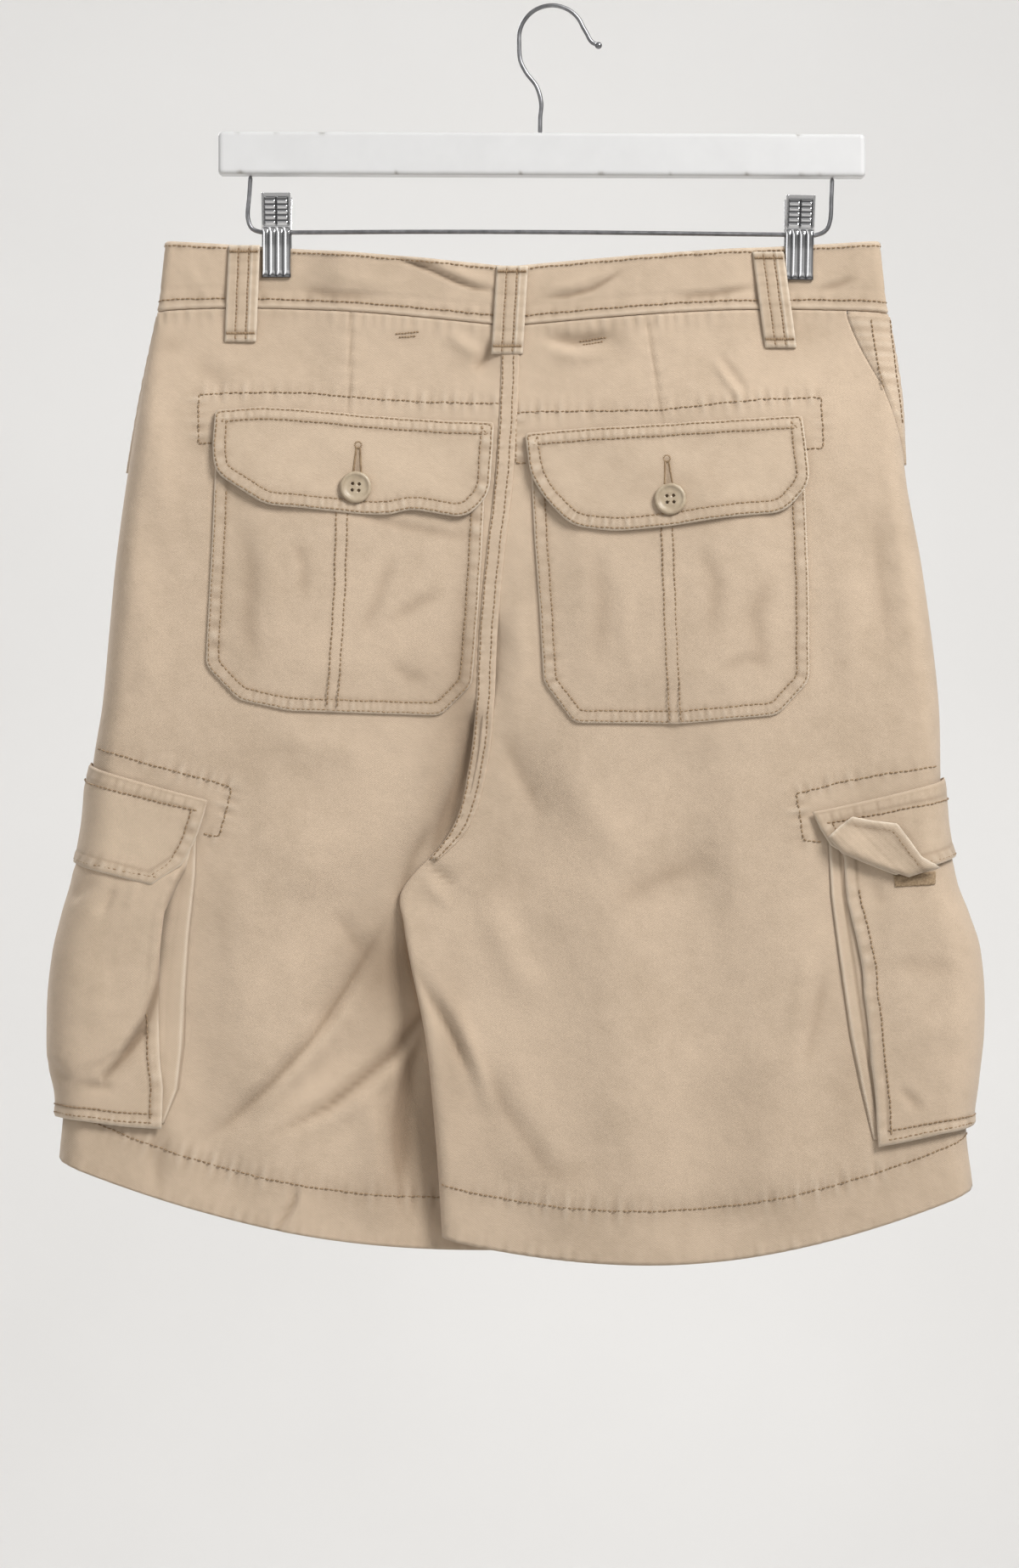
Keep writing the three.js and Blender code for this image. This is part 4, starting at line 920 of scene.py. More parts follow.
def build_band(half):
    reach = 207 if half == "left" else 222
    inner = 1 - 0.0008
    across = np.linspace(-inner, inner, 2 * int(reach / 1.6))
    if half == "left":
        across = np.concatenate([across, np.linspace(inner, 1 + 20 / reach, 12)[1:]])
    levels = np.concatenate([[0, 0.01, 0.03], np.linspace(0.06, 0.94, 22), [0.97, 0.99, 1]])
    q, h = np.meshgrid(across, levels)
    smooth = band_points(half, q, h, BAND_CREASES[half])
    normals = normals_of(band_points, half, q, h)
    along = smooth[..., 0]
    roll = 0.55 * (np.exp(-(((h - 0.045) / 0.045) ** 2)) + 0.6 * np.exp(-(((h - 0.95) / 0.05) ** 2)))
    groove = -0.35 * (np.exp(-(((h - 0.30) / 0.03) ** 2)) + np.exp(-(((h - 0.90) / 0.02) ** 2)))
    pucker = 0.35 * ripple(along, 3) * np.exp(-(((h - 0.16) / 0.12) ** 2))
    pucker += 0.22 * ripple(along, 7, 11.0) * np.exp(-(((h - 0.93) / 0.08) ** 2))
    edge_round = -1.0 * (1 - smoothstep(0, 0.02, h)) - 1.0 * (1 - smoothstep(0, 0.02, 1 - h))
    upper = smooth + normals * (roll + groove + pucker + edge_round)[..., None]
    lower = smooth - normals * (BAND_CLOTH + 0.7 * edge_round)[..., None]
    wear = 0.8 * np.exp(-(((h - 0.985) / 0.04) ** 2)) + 0.5 * np.exp(-(((h - 0.04) / 0.05) ** 2))
    wear = wear * (0.6 + 0.4 * ripple(along, 2))
    # Painted shade beside the lower row of stitches, in the pucker troughs and along the band's creases.
    shade = 0.35 * np.exp(-(((h - 0.13) / 0.03) ** 2)) + 0.5 * np.clip(-pucker / 0.35, 0, 1)
    side = np.where(q < 0, SEAT, FLY)
    creases = crease_rise(BAND_CREASES[half], half, side, smooth[..., 0], smooth[..., 2])
    shade = np.clip(shade + 0.75 * np.clip(-creases, 0, 1), 0, 1)
    flat = smooth[..., [0, 2]]
    piece = wall_from_grid(f"cloth_waistband_{half}", upper, lower, flat, np.clip(wear, 0, 1), shade)
    finish_piece(piece, TWILL, [f"waistband_{half}"])
    return piece


# Outlines on the seat, in X and Z
BACK_POCKETS = {
    "left": [
        (-196.5, -262), (-198.5, -317), (-202, -388), (-183, -408), (-153.5, -414.5), (-119.5, -415.5),
        (-65.5, -417), (-47, -399), (-43.5, -357), (-41, -317), (-38.5, -262),
    ],
    "right": [
        (-13, -262), (-10.5, -312), (-7.5, -353.5), (-5, -397.5), (13, -421.5), (74.5, -422), (131, -417),
        (149.5, -397), (149.5, -344), (147.5, -289), (147, -262),
    ],
}
BACK_FLAPS = {
    "left": [
        (-197, -239), (-168.5, -237), (-138, -239), (-105.5, -242), (-64, -244.5), (-34, -245.5),
        (-36.8, -288), (-50.5, -302), (-83.5, -297), (-95.5, -300.5), (-112, -300), (-146.5, -296.5),
        (-167.5, -295), (-196.5, -276), (-198.5, -262),
    ],
    "right": [
        (-16, -252), (20, -249), (61, -247), (102, -244.5), (146, -242), (150.5, -281.5), (135.5, -299),
        (102, -302), (66.5, -307.5), (36.5, -310), (11, -306.5), (-5.5, -289), (-13, -276),
    ],
}
BACK_BUTTONS = {"left": (-115, -284.5), "right": (69, -291.5)}
FLY_OUTLINE = [
    (-27, -192), (-65, -190.5), (-66, -300), (-62, -330), (-52, -348), (-40.5, -360), (-37.5, -335),
    (-32.5, -290), (-28.5, -235),
]

# The pockets at the side: Z at the side edge, and where the row ends on the seat side
CARGO_BAGS = {
    "left": [
        (-458, -208, -478), (-500, -214, -507.5), (-530, -225.5, -531), (-566, -229, -566),
        (-600, -230, -601.5), (-630, -227.5, -633.5), (-652.8, -228, -658),
    ],
    "right": [
        (-463, 164, -481), (-500, 169.5, -501), (-527, 173, -531.5), (-570, 181, -579.5),
        (-613, 185, -619.5), (-640, 188, -645), (-657, 189.5, -668),
    ],
}
CARGO_FLAPS = {
    "left": [
        (-444.5, -200.5, -466.3), (-462, -204, -479), (-482, -208, -490), (-497, -215.5, -504),
        (-503.5, -233, -515.5),
    ],
    "right": [
        (-453, 150.5, -473.3), (-470, 155, -483), (-484, 161, -492.5), (-495, 172, -499),
        (-499.8, 199, -509.5),
    ],
}
# Rows of a gusset: X of its outer and inner edges, and Z
CARGO_GUSSETS = {
    "left": [
        (-207, -222, -482), (-208, -226, -510), (-212, -234, -545), (-214, -240, -580), (-215, -240, -610),
        (-218, -238, -635), (-226.5, -238, -655),
    ],
    "right": [
        (160, 176, -490), (162, 180, -522), (167, 187, -560), (173, 192, -604), (179, 195, -633),
        (186.5, 198, -664),
    ],
}
GRIP_PATCH = [(198, -509.5), (220.5, -508), (220.5, -515.5), (199, -516.5)]
LEAF = [
    (158.5, -487.8), (165, -481.8), (173, -475.8), (183, -477.8), (199.5, -479.8), (206.5, -488.8),
    (212.5, -497.2), (220, -506.2), (206.5, -510.8), (185, -503.8), (167, -497.2),
]
BELT_LOOPS = [
    ("back_left", SEAT, -180.8, -140.5, -183, -197.5),
    ("back_centre", SEAT, -23.3, -153.2, -26.5, -205),
    ("back_right", SEAT, 126.8, -144.5, 134.3, -201),
    ("front_left", FLY, -118, -145, -119, -201),
    ("front_right", FLY, 84, -147, 85, -203),
]
LOOP_WIDTH = 18.5
LOOP_STEPS = 46
LOOP_TACK = 0.91

FLAP_TOPS = {"left": BACK_FLAPS["left"][:6], "right": BACK_FLAPS["right"][:5]}
BACK_POCKETS = {half: rounded(line, 4.5) for half, line in BACK_POCKETS.items()}
BACK_FLAPS = {half: rounded(line, 8, -262, 2) for half, line in BACK_FLAPS.items()}
POCKET_CREASES = [
    ("left", SEAT, [(-181, -303), (-175, -331), (-176.5, -367), (-171, -397)], 6, -0.9),
    ("left", SEAT, [(-168, -306), (-163, -340), (-160, -380)], 5, 0.6),
    ("left", SEAT, [(-151.7, -311.7), (-144.4, -330.8), (-146, -352)], 3.5, -0.7),
    ("left", SEAT, [(-93, -322), (-103, -353), (-114, -372)], 4, -0.7),
    ("left", SEAT, [(-60, -343), (-78, -351), (-98, -364)], 4, -0.8),
    ("left", SEAT, [(-116.5, -300), (-84, -307), (-59, -312), (-42, -310)], 3, -0.9),
    ("left", SEAT, [(-96, -384), (-84, -394), (-72, -396)], 4, -0.6),
    ("right", SEAT, [(24, -318), (30, -350), (26, -392)], 6, -0.7),
    ("right", SEAT, [(44, -330), (42, -366), (50, -402)], 5, 0.6),
    ("right", SEAT, [(84, -316), (96, -340), (92, -376)], 5, -0.7),
    ("right", SEAT, [(128, -330), (118, -360), (124, -396)], 6, -0.8),
    ("right", SEAT, [(96, -392), (112, -384), (128, -386)], 4, -0.6),
]

# Soft dark places, most of them painted shadow and shade where legs, folds and seams hollow the cloth, a few
# of them stains by the waistband: half, middle in X and Z, reach in X and Z, share
SHADE_AND_STAIN_SPOTS = [
    ("left", -98, -566, 26, 30, 0.8), ("left", -85, -664, 19, 46, 0.75), ("left", -66, -470, 10, 30, 0.5),
    ("left", -52, -385, 8, 46, 0.5), ("left", -57, -428, 14, 20, 0.4), ("left", -224, -199, 7, 5, 0.3),
    ("left", -85, -194, 9, 3.5, 0.28), ("left", -76, -552, 15, 40, 0.5), ("left", -120, -700, 24, 14, 0.2),
    ("left", -170, -440, 26, 14, 0.12), ("left", -46, -212, 12, 8, 0.2), ("left", -70, -392, 18, 22, 0.22),
    ("right", -58, -606, 9, 44, 0.36), ("right", 8, -682, 36, 10, 0.2), ("right", 115, -650, 28, 40, 0.16),
    ("right", 24, -196, 13, 4, 0.3), ("right", -40, -655, 20, 36, 0.2), ("right", 150, -190, 16, 9, 0.16),
    ("right", -30, -512, 20, 14, 0.14), ("right", 120, -704, 80, 12, 0.14),
    ("right", 40, -196, 6, 10, 0.16), ("right", 170, -640, 9, 50, 0.2),
]

# Lines of stitches on the panels
PANEL_STITCHES = {
    "left": [
        [(-206.8, -257.8), (-206.8, -229), (-181.5, -227.8), (-146.5, -227.8), (-111, -231), (-78, -233.2),
         (-31, -234.2)],
        [(-206.8, -257.8), (-199, -257.8)],
        [(-269, -435.2), (-252.5, -440.2), (-231.5, -446.5), (-209.5, -452.2), (-186.5, -458.8),
         (-194, -487.8), (-203.5, -485.8)],
    ],
    "right": [
        [(-21.5, -268.8), (-21, -239.2), (2, -238.8), (63.5, -238.2), (102, -233.8), (124, -231.8),
         (157.5, -230.8), (158.5, -261.2), (148, -261.2)],
        [(-21.5, -268.8), (-15, -269.2)],
        [(227.5, -446.2), (189, -451.8), (165, -456.5), (141.8, -462.8), (146, -489.8), (156.5, -490.8)],
    ],
}
DARTS = {
    "left": [(-118, -180.2), (-118.2, -210.8), (-118.5, -240.2)],
    "right": [(56.5, -186.8), (60.5, -215.8), (65, -245.8)],
}
TACKS = [
    ("left", (-92, -193), (-78, -192)), ("left", (-90, -195), (-80, -194.5)),
    ("right", (16, -197), (32, -195)), ("right", (18, -199), (30, -197.5)),
]
POCKET_CENTRES = {
    "left": [
        [(-126, -295.8), (-127.2, -344.2), (-131.5, -411.2)],
        [(-119.5, -295.8), (-121, -344.2), (-125.5, -412.2)]
    ],
    "right": [[(63.5, -301.8), (66, -371.8), (68.5, -420.2)], [(70, -301.8), (72.5, -371.8), (75, -420.2)]],
}
SEAM_STRIP_V = (0.024, 0.69)
SEAM_REACH = {"left": 4.4, "right": 6.4}
SEAM_STITCH_IN = (1.2, 7.5)
BUTTONHOLES = {"left": ((-113.5, -261.2), (-114, -275.8)), "right": ((67, -269.2), (68, -282.2))}
BAG_CREASE = [
    (-213, -501.8), (-223.5, -525.8), (-226.5, -550.8), (-230.5, -570.8), (-238, -591.8), (-252.5, -615.8),
    (-262, -626.8),
]
BAG_CREASES = {
    "left": [
        ("left", SEAT, [(-254, -516), (-264, -534)], 2.6, -1.6),
        ("left", SEAT, [(-262, -512), (-276, -528)], 2.4, -1.2),
        ("left", SEAT, [(-240, -512), (-248, -530)], 3, 1.0),
        ("left", SEAT, [(-236, -598), (-252, -618)], 2.0, -1.8),
        ("left", SEAT, [(-252, -612), (-268, -625)], 2.2, -1.4),
        ("left", SEAT, [(-288, -616), (-278, -632)], 2.6, -1.4),
        ("left", SEAT, [(-278, -632), (-254, -634)], 2.8, -1.1),
        ("left", SEAT, [(-262, -560), (-268, -600)], 8, 1.3),
    ],
    "right": [
        ("right", SEAT, [(190, -530), (240, -540)], 12, 0.8),
        ("right", SEAT, [(196, -560), (236, -566)], 7, -0.7),
        ("right", SEAT, [(205, -600), (245, -600)], 10, 0.9),
        ("right", SEAT, [(200, -632), (216, -648)], 3, -1.0),
        ("right", SEAT, [(186, -512), (192, -530)], 4, -0.8),
    ],
}
BAG_FOLD_END = 0.58
LAY = 0.4
TURNING = 7.3
SEWN_EDGE = 1.3


def patch_profile(distance, along, thick, seed, line, pucker=0.45):
    """Height, wear and painted shade of a turned and sewn edge, at each distance from it."""
    corner = np.clip(1 - distance / 1.0, 0, 1)
    height = thick - 0.75 * thick * (1 - np.sqrt(1 - corner**2))
    height += 0.42 * (1 - smoothstep(TURNING - 0.4, TURNING + 1.2, distance))
    height -= 0.34 * np.exp(-(((distance - TURNING) / 0.75) ** 2))
    height -= 0.16 * np.exp(-(((distance - SEWN_EDGE) / 0.5) ** 2))
    window = np.exp(-(((distance - 4.2) / 2.7) ** 2)) + 0.4 * np.exp(-(((distance - 9.6) / 2.2) ** 2))
    waves = puckers(line, along, seed)
    height += pucker * waves * window
    ridge = np.exp(-(((distance - 4) / 2.6) ** 2))
    wear = 1.0 * np.exp(-((distance / 0.9) ** 2)) + 0.6 * np.clip(waves, 0, 1) * ridge
    # Painted shade in the stitch grooves, in the pucker troughs and along the sewn edge.
    shade = 0.5 * np.exp(-(((distance - TURNING) / 1.1) ** 2)) + 0.5 * np.clip(-waves, 0, 1) * window
    shade += 0.4 * np.exp(-(((distance - SEWN_EDGE) / 0.7) ** 2)) + 0.12 * window
    return height, np.clip(wear, 0, 1), np.clip(shade, 0, 1)


def on_cloth(half, side, flat, out):
    """Points over a panel, at flat places and distances from the cloth."""
    q, v = locate(body_points, half, side, flat[:, 0], flat[:, 1])
    return moved_out(body_points, half, q, v, out, CREASES)


def normals_on(half, side, flat):
    q, v = locate(body_points, half, side, flat[:, 0], flat[:, 1])
    return normals_of(body_points, half, q, v)


def build_patch(name, half, side, outline, spacing, height_at, node, material, floor=LAY):
    """A cut piece of cloth sewn on a panel. height_at gives height, lift, wear and shade."""
    flat, faces = filled_outline(outline, spacing)
    distance, along = line_distance(flat, closed_line(np.asarray(outline, dtype=float)))
    height, lift, wear, shade = height_at(flat, distance, along)
    upper = on_cloth(half, side, flat, floor + lift + height)
    lower = on_cloth(half, side, flat, floor + lift)
    piece = wall_from_flat(name, flat, faces, upper, lower, wear, shade)
    finish_piece(piece, material, [node])
    return piece


def stitch_line(stitches, half, side, line, out, pitch=STITCH_PITCH):
    flat = smooth_line(line, pitch)
    stitches.add(on_cloth(half, side, flat, np.full(len(flat), out)), normals_on(half, side, flat))


def build_back_pocket(half, stitches):
    outline = BACK_POCKETS[half]
    centres = POCKET_CENTRES[half]
    edge_line = closed_line(outline)

    def height_at(flat, distance, along):
        height, wear, shade = patch_profile(
            distance, along, POCKET_CLOTH, 3 if half == "left" else 4, edge_line
        )
        seam_gap, seam_along = line_distance(flat, 0.5 * (np.array(centres[0]) + np.array(centres[1])))
        strip = 1 - smoothstep(3.2, 4.6, seam_gap)
        height += 0.3 * strip + 0.2 * ripple(seam_along, 9, 8.2) * np.exp(-((seam_gap / 4.5) ** 2))
        # Painted shade along the edges of the centre seam's strip.
        shade += 0.3 * np.exp(-(((seam_gap - 3.6) / 0.7) ** 2))
        body = smoothstep(9, 30, distance)
        middle = np.asarray(outline).mean(axis=0)
        soft = (
            np.sin((flat[:, 0] - middle[0]) / 17.0 + 0.7 * np.sin(flat[:, 1] / 23.0))
            + 0.6 * np.sin(flat[:, 1] / 19.0 + 1.1)
        )
        height += body * (1.2 + 0.38 * soft)
        mouth = smoothstep(-330, -290, flat[:, 1]) * body
        folds = crease_rise(POCKET_CREASES, half, np.full(len(flat), SEAT), flat[:, 0], flat[:, 1])
        # Painted shade in the pocket's creases and in the soft dark spots.
        shade += 0.5 * np.clip(-folds, 0, 1) + shade_at(half, flat)
        return height + 0.6 * mouth + folds, np.zeros(len(flat)), wear, np.clip(shade, 0, 1)

    build_patch(
        f"cloth_back_pocket_{half}", half, SEAT, outline, 2.0, height_at,
        f"back_pocket_{half}", TWILL,
    )
    ring = inset(outline, TURNING)
    below = [p for p in smooth_line(closed_line(ring), 2.0) if p[1] < -285]
    stitch_line(stitches, half, SEAT, ordered_run(below), LAY + POCKET_CLOTH + 0.15)
    edge = [p for p in smooth_line(closed_line(inset(outline, SEWN_EDGE)), 2.0) if p[1] < -285]
    stitch_line(stitches, half, SEAT, ordered_run(edge), LAY + POCKET_CLOTH + 0.1)
    for line in centres:
        stitch_line(stitches, half, SEAT, line, LAY + POCKET_CLOTH + 1.5)


def ordered_run(points):
    """Points of an open run, turned so that its longest gap lies at its ends."""
    points = np.array(points)
    gaps = np.linalg.norm(np.roll(points, -1, axis=0) - points, axis=1)
    return np.roll(points, -(int(np.argmax(gaps)) + 1), axis=0)


def flap_lift(half, flat):
    """How far a back flap's free lower part stands off its pocket."""
    top = -242 if half == "left" else -247
    low = -300 if half == "left" else -307
    down = smoothstep(top - 6, low, flat[:, 1])
    bx, bz = BACK_BUTTONS[half]
    held = np.exp(-(np.hypot(flat[:, 0] - bx, flat[:, 1] - bz) / 17.0) ** 2)
    wave = 1 + 0.35 * np.sin(flat[:, 0] / 15.0 + (0.6 if half == "left" else 2.4))
    return 2.6 * down * wave * (1 - 0.75 * held)


def build_back_flap(half, stitches):
    outline = BACK_FLAPS[half]
    floor = LAY + POCKET_CLOTH + LAY

    def height_at(flat, distance, along):
        seed = 6 if half == "left" else 8
        height, wear, shade = patch_profile(distance, along, FLAP_CLOTH, seed, closed_line(outline))
        height += 0.35 * np.sin(flat[:, 0] / 13.0 + flat[:, 1] / 17.0) * smoothstep(9, 20, distance)
        free = smoothstep(1, 6, line_distance(flat, FLAP_TOPS[half])[0])
        slit = line_distance(flat, BUTTONHOLES[half])[0]
        height = height * lerp(0.45, 1, free) - 0.4 * np.exp(-((slit / 0.9) ** 2))
        # Painted shade in and round the buttonhole's slit.
        shade = np.clip(shade + 0.8 * np.exp(-((slit / 2.4) ** 2)), 0, 1)
        return height, flap_lift(half, flat), wear * lerp(0.1, 1, free), shade

    build_patch(
        f"cloth_back_flap_{half}", half, SEAT, outline, 1.8, height_at, f"back_flap_{half}", TWILL_WORN,
        floor,
    )
    for distance, out in ((TURNING, 0.12), (SEWN_EDGE, 0.02)):
        flat = smooth_line(closed_line(inset(outline, distance)), STITCH_PITCH)
        height, lift, *_ = height_at(flat, np.full(len(flat), distance), np.zeros(len(flat)))
        places = on_cloth(half, SEAT, flat, floor + lift + height + out)
        stitches.add(places, normals_on(half, SEAT, flat))
    buttonhole(half, stitches, floor + FLAP_CLOTH)


def buttonhole(half, stitches, stand):
    """Dense stitches on both sides of a slit, with an eye at its upper end."""
    (x0, z0), (x1, z1) = BUTTONHOLES[half]
    starts, ends = [], []
    for t in np.linspace(0, 1, 30):
        for hand in (-1, 1):
            slit = 0.3 + 1.2 * t
            starts.append((x0 + (x1 - x0) * t + hand * slit, z0 + (z1 - z0) * t))
            ends.append((x0 + (x1 - x0) * t + hand * (slit + 1.6), z0 + (z1 - z0) * t - 0.3))
    for turn in np.linspace(0, 2 * math.pi, 14)[:-1]:
        starts.append((x0 + 1.1 * math.cos(turn), z0 + 1.6 + 1.1 * math.sin(turn)))
        ends.append((x0 + 2.7 * math.cos(turn), z0 + 1.6 + 2.7 * math.sin(turn)))
    for start, end in zip(starts, ends):
        flat = np.array([start, end])
        out = stand + flap_lift(half, flat) + 0.1
        stitches.add(on_cloth(half, SEAT, flat, out), normals_on(half, SEAT, flat))


def table_rows(half, table, t):
    """The reach round the side and the heights of a wrapped piece's rows, at each t from 0 to 1."""
    rows = np.array(table, dtype=float)
    q, v = locate(body_points, half, SEAT, rows[:, 1], rows[:, 2])
    levels = np.linspace(0, 1, 400)
    heights = column(half, "out_z", levels)
    side_v = np.interp(-rows[:, 0], -heights, levels)
    at = np.concatenate([[0], np.cumsum(np.hypot(np.diff(rows[:, 1]), np.diff(rows[:, 2])))])
    at = at / at[-1]
    return np.interp(t, at, np.abs(q)), np.interp(t, at, side_v), np.interp(t, at, v), at


def wrapped(half, table, s, t):
    """The q and v of a wrapped piece's points, s from -1 on the seat over 0 at the side to 1."""
    reach, side_v, end_v, _ = table_rows(half, table, t)
    return s * reach, lerp(side_v, end_v, np.abs(s))


def wrapped_flat(half, table, s, t):
    """Flat places of a wrapped piece's points, as if it lay on the seat side all over."""
    q, v = wrapped(half, table, -np.maximum(np.abs(s), 0.003), t)
    return body_points(half, q, v)[..., [0, 2]]


def bag_stand(q, v):
    middle = np.cos(np.clip(q / 0.4, -1, 1) * np.pi / 2)
    return lerp(0.4, 2.4 + 1.4 * middle, smoothstep(0.6, 0.76, v))


def bag_relief(half, flat, s, seat_gap, foot_gap, seam_along):
    """The bag's own relief, with wear and painted shade."""
    edge = np.minimum(seat_gap, foot_gap)
    corner = np.clip(1 - edge / 1.0, 0, 1)
    relief = -0.9 * (1 - np.sqrt(1 - corner**2))
    relief += 0.35 * (1 - smoothstep(6, 7.4, edge)) - 0.35 * np.exp(-(((edge - 6.6) / 0.8) ** 2))
    seed = 5 if half == "left" else 12
    waves = np.where(seat_gap < foot_gap, ripple(seam_along, seed, 9.0), ripple(seam_along, seed, 5.0))
    relief += 0.42 * waves * np.exp(-(((edge - 3.6) / 3.0) ** 2))
    wear = (
        1.1 * np.exp(-((edge / 1.2) ** 2))
        + 0.45 * np.clip(waves, 0, 1) * np.exp(-(((edge - 3.6) / 2.6) ** 2))
    )
    # Painted shade in the stitch groove and the pucker troughs.
    shade = (
        0.7 * np.exp(-(((edge - 6.8) / 0.9) ** 2))
        + 0.3 * np.clip(-waves, 0, 1) * np.exp(-(((edge - 4) / 3) ** 2))
    )
    creases = crease_rise(BAG_CREASES[half], half, np.full(len(flat), SEAT), flat[:, 0], flat[:, 1])
    relief += 1.3 * creases
    # Painted shade in the bag's creases.
    shade += 0.45 * np.clip(-creases / 1.2, 0, 1)
    body = smoothstep(7, 26, edge)
    relief += body * (0.9 + 0.5 * np.sin(flat[:, 1] / 16.0 + 0.8 * np.sin(flat[:, 0] / 15.0)))
    if half == "left":
        gap, along = line_distance(flat, BAG_CREASE)
        line = np.array(BAG_CREASE, dtype=float)
        at = np.interp(-flat[:, 1], -line[:, 1], line[:, 0])
        hand = np.where(flat[:, 0] < at, 1, -1)
        signed = gap * hand
        present = smoothstep(-498, -512, flat[:, 1]) * smoothstep(-640, -615, flat[:, 1])
        full = smoothstep(-0.8, 2.0, signed) * (1 - 0.55 * smoothstep(8, 42, signed))
        under = smoothstep(-600, -580, flat[:, 1])
        shown = 1 - np.clip(present * smoothstep(-1, 1.5, signed) + under * present, 0, 1)
        wear, shade = wear * shown, shade * shown
        relief += 4.4 * full * present
        # Painted shadow beside the fold that lies over the seam strip.
        shade += (
            (1.0 * np.exp(-(((signed + 1.8) / 2.2) ** 2)) + 0.3 * np.exp(-(((signed + 5) / 5) ** 2)))
            * present
        )
    return relief, np.clip(wear, 0, 1), np.clip(shade, 0, 1)


def build_bag(half, stitches):
    table = CARGO_BAGS[half]
    lines = np.linspace(0, 1, 92)
    seat_side = 1 - np.linspace(0, 1, 44) ** 1.05
    across = np.concatenate([-seat_side[:-1], [0], (seat_side[:-1])[::-1]])
    s, t = np.meshgrid(across, lines)
    q, v = wrapped(half, table, s, t)
    flat = wrapped_flat(half, table, s, t).reshape(-1, 2)
    seat_line = wrapped_flat(half, table, np.full(60, -1.0), np.linspace(0, 1, 60))
    foot_line = wrapped_flat(half, table, np.linspace(-1, -0.001, 60), np.ones(60))
    seat_gap, seat_along = line_distance(flat, seat_line)
    foot_gap, foot_along = line_distance(flat, foot_line)
    along = np.where(seat_gap < foot_gap, seat_along, foot_along + 300)
    relief, wear, shade = bag_relief(half, flat, s.ravel(), seat_gap, foot_gap, along)
    stand = bag_stand(q, v)
    mouth = smoothstep(0.0, 0.14, t)
    upper = moved_out(body_points, half, q, v, stand + POCKET_CLOTH + relief.reshape(q.shape) * mouth)
    lower = moved_out(
        body_points, half, q, v, stand + np.maximum(relief, -0.3).reshape(q.shape) * mouth * 0.9
    )
    piece = wall_from_grid(f"cloth_bag_{half}", upper, lower, grid_flat(upper), wear, shade)
    finish_piece(piece, TWILL, [f"cargo_bag_{half}"])
    for hand in (-1, 1):
        first = BAG_FOLD_END if half == "left" and hand < 0 else 0.2
        rows = np.linspace(first, 0.97, int(90 * (0.97 - first)))
        wrapped_stitches(stitches, half, table, hand * seam_share(half, table, rows, 6.4), rows, 0.25)
    for distance in (3.2, 8.4):
        turns = np.linspace(-0.93, 0.93, 90)
        foot_t = 1 - distance / 180
        wrapped_stitches(stitches, half, table, turns, np.full(90, foot_t), 0.25)


def grid_flat(upper):
    """Flat positions of a grid's points, by their distances along its rows and columns."""
    across = np.linalg.norm(np.diff(upper, axis=1), axis=-1)
    across = np.concatenate([np.zeros((upper.shape[0], 1)), np.cumsum(across, axis=1)], axis=1)
    down = np.linalg.norm(np.diff(upper, axis=0), axis=-1).mean(axis=1)
    down = np.concatenate([[0], np.cumsum(down)])
    return np.stack(
        [across - across[:, -1:] / 2, np.repeat(-down[:, None], upper.shape[1], axis=1)], axis=-1
    )


def seam_share(half, table, t, distance):
    """The s that lies a distance inside the seat end of a wrapped piece's rows."""
    ends = wrapped_flat(half, table, np.full(len(t), -1.0), t)
    sides = wrapped_flat(half, table, np.full(len(t), -0.01), t)
    return 1 - distance / np.maximum(np.linalg.norm(ends - sides, axis=1) + 8, 10)


def wrapped_stitches(stitches, half, table, s, t, over):
    """A line of stitches on a cargo bag."""
    q, v = wrapped(half, table, np.asarray(s, dtype=float), np.asarray(t, dtype=float))
    base = bag_stand(q, v) + POCKET_CLOTH
    raw = moved_out(body_points, half, q, v, base + over)
    run = np.concatenate([[0], np.cumsum(np.linalg.norm(np.diff(raw, axis=0), axis=1))])
    at = np.linspace(0, run[-1], max(int(run[-1] / STITCH_PITCH), 2))
    places = np.stack([np.interp(at, run, raw[:, k]) for k in range(3)], axis=1)
    normals = normals_of(body_points, half, q, v)
    turned = np.stack([np.interp(at, run, normals[:, k]) for k in range(3)], axis=1)
    stitches.add(places, turned)


def cargo_flap_stand(q, v):
    return np.where(v < 0.58, 0.6, lerp(1.2, bag_stand(q, v) + 2.0, smoothstep(0.58, 0.615, v))) + 0.4


def cargo_flap_lift(s, t):
    """How far a cargo flap's lower part stands off the bag."""
    return 2.2 * smoothstep(0.35, 1.0, t) * lerp(0.3, 1, smoothstep(0.1, 0.7, np.abs(s)))


def build_cargo_flap(half, stitches):
    table = CARGO_FLAPS[half]
    lines = np.linspace(0, 1, 46)
    seat_side = 1 - np.linspace(0, 1, 56) ** 1.05
    across = np.concatenate([-seat_side[:-1], [0], (seat_side[:-1])[::-1]])
    s, t = np.meshgrid(across, lines)
    q, v = wrapped(half, table, s, t)
    flat = wrapped_flat(half, table, s, t).reshape(-1, 2)
    edge_line = np.vstack([
        wrapped_flat(half, table, np.linspace(-0.001, -1, 50), np.zeros(50)),
        wrapped_flat(half, table, np.full(50, -1.0), np.linspace(0, 1, 50))[1:],
        wrapped_flat(half, table, np.linspace(-1, -0.001, 50), np.ones(50))[1:],
    ])
    distance, along = line_distance(flat, edge_line)
    height, wear, shade = patch_profile(distance, along, FLAP_CLOTH, 13 if half == "left" else 14, edge_line)
    free = smoothstep(0.02, 0.2, t.ravel())
    height, wear = height * lerp(0.45, 1, free), wear * lerp(0.1, 1, free)
    stand = cargo_flap_stand(q, v) + cargo_flap_lift(s, t)
    upper = moved_out(body_points, half, q, v, stand + height.reshape(q.shape))
    lower = moved_out(body_points, half, q, v, stand)
    piece = wall_from_grid(f"cloth_cargo_flap_{half}", upper, lower, grid_flat(upper), wear, shade)
    finish_piece(piece, TWILL_WORN, [f"cargo_flap_{half}"])
    flap_stitches(stitches, half, table)


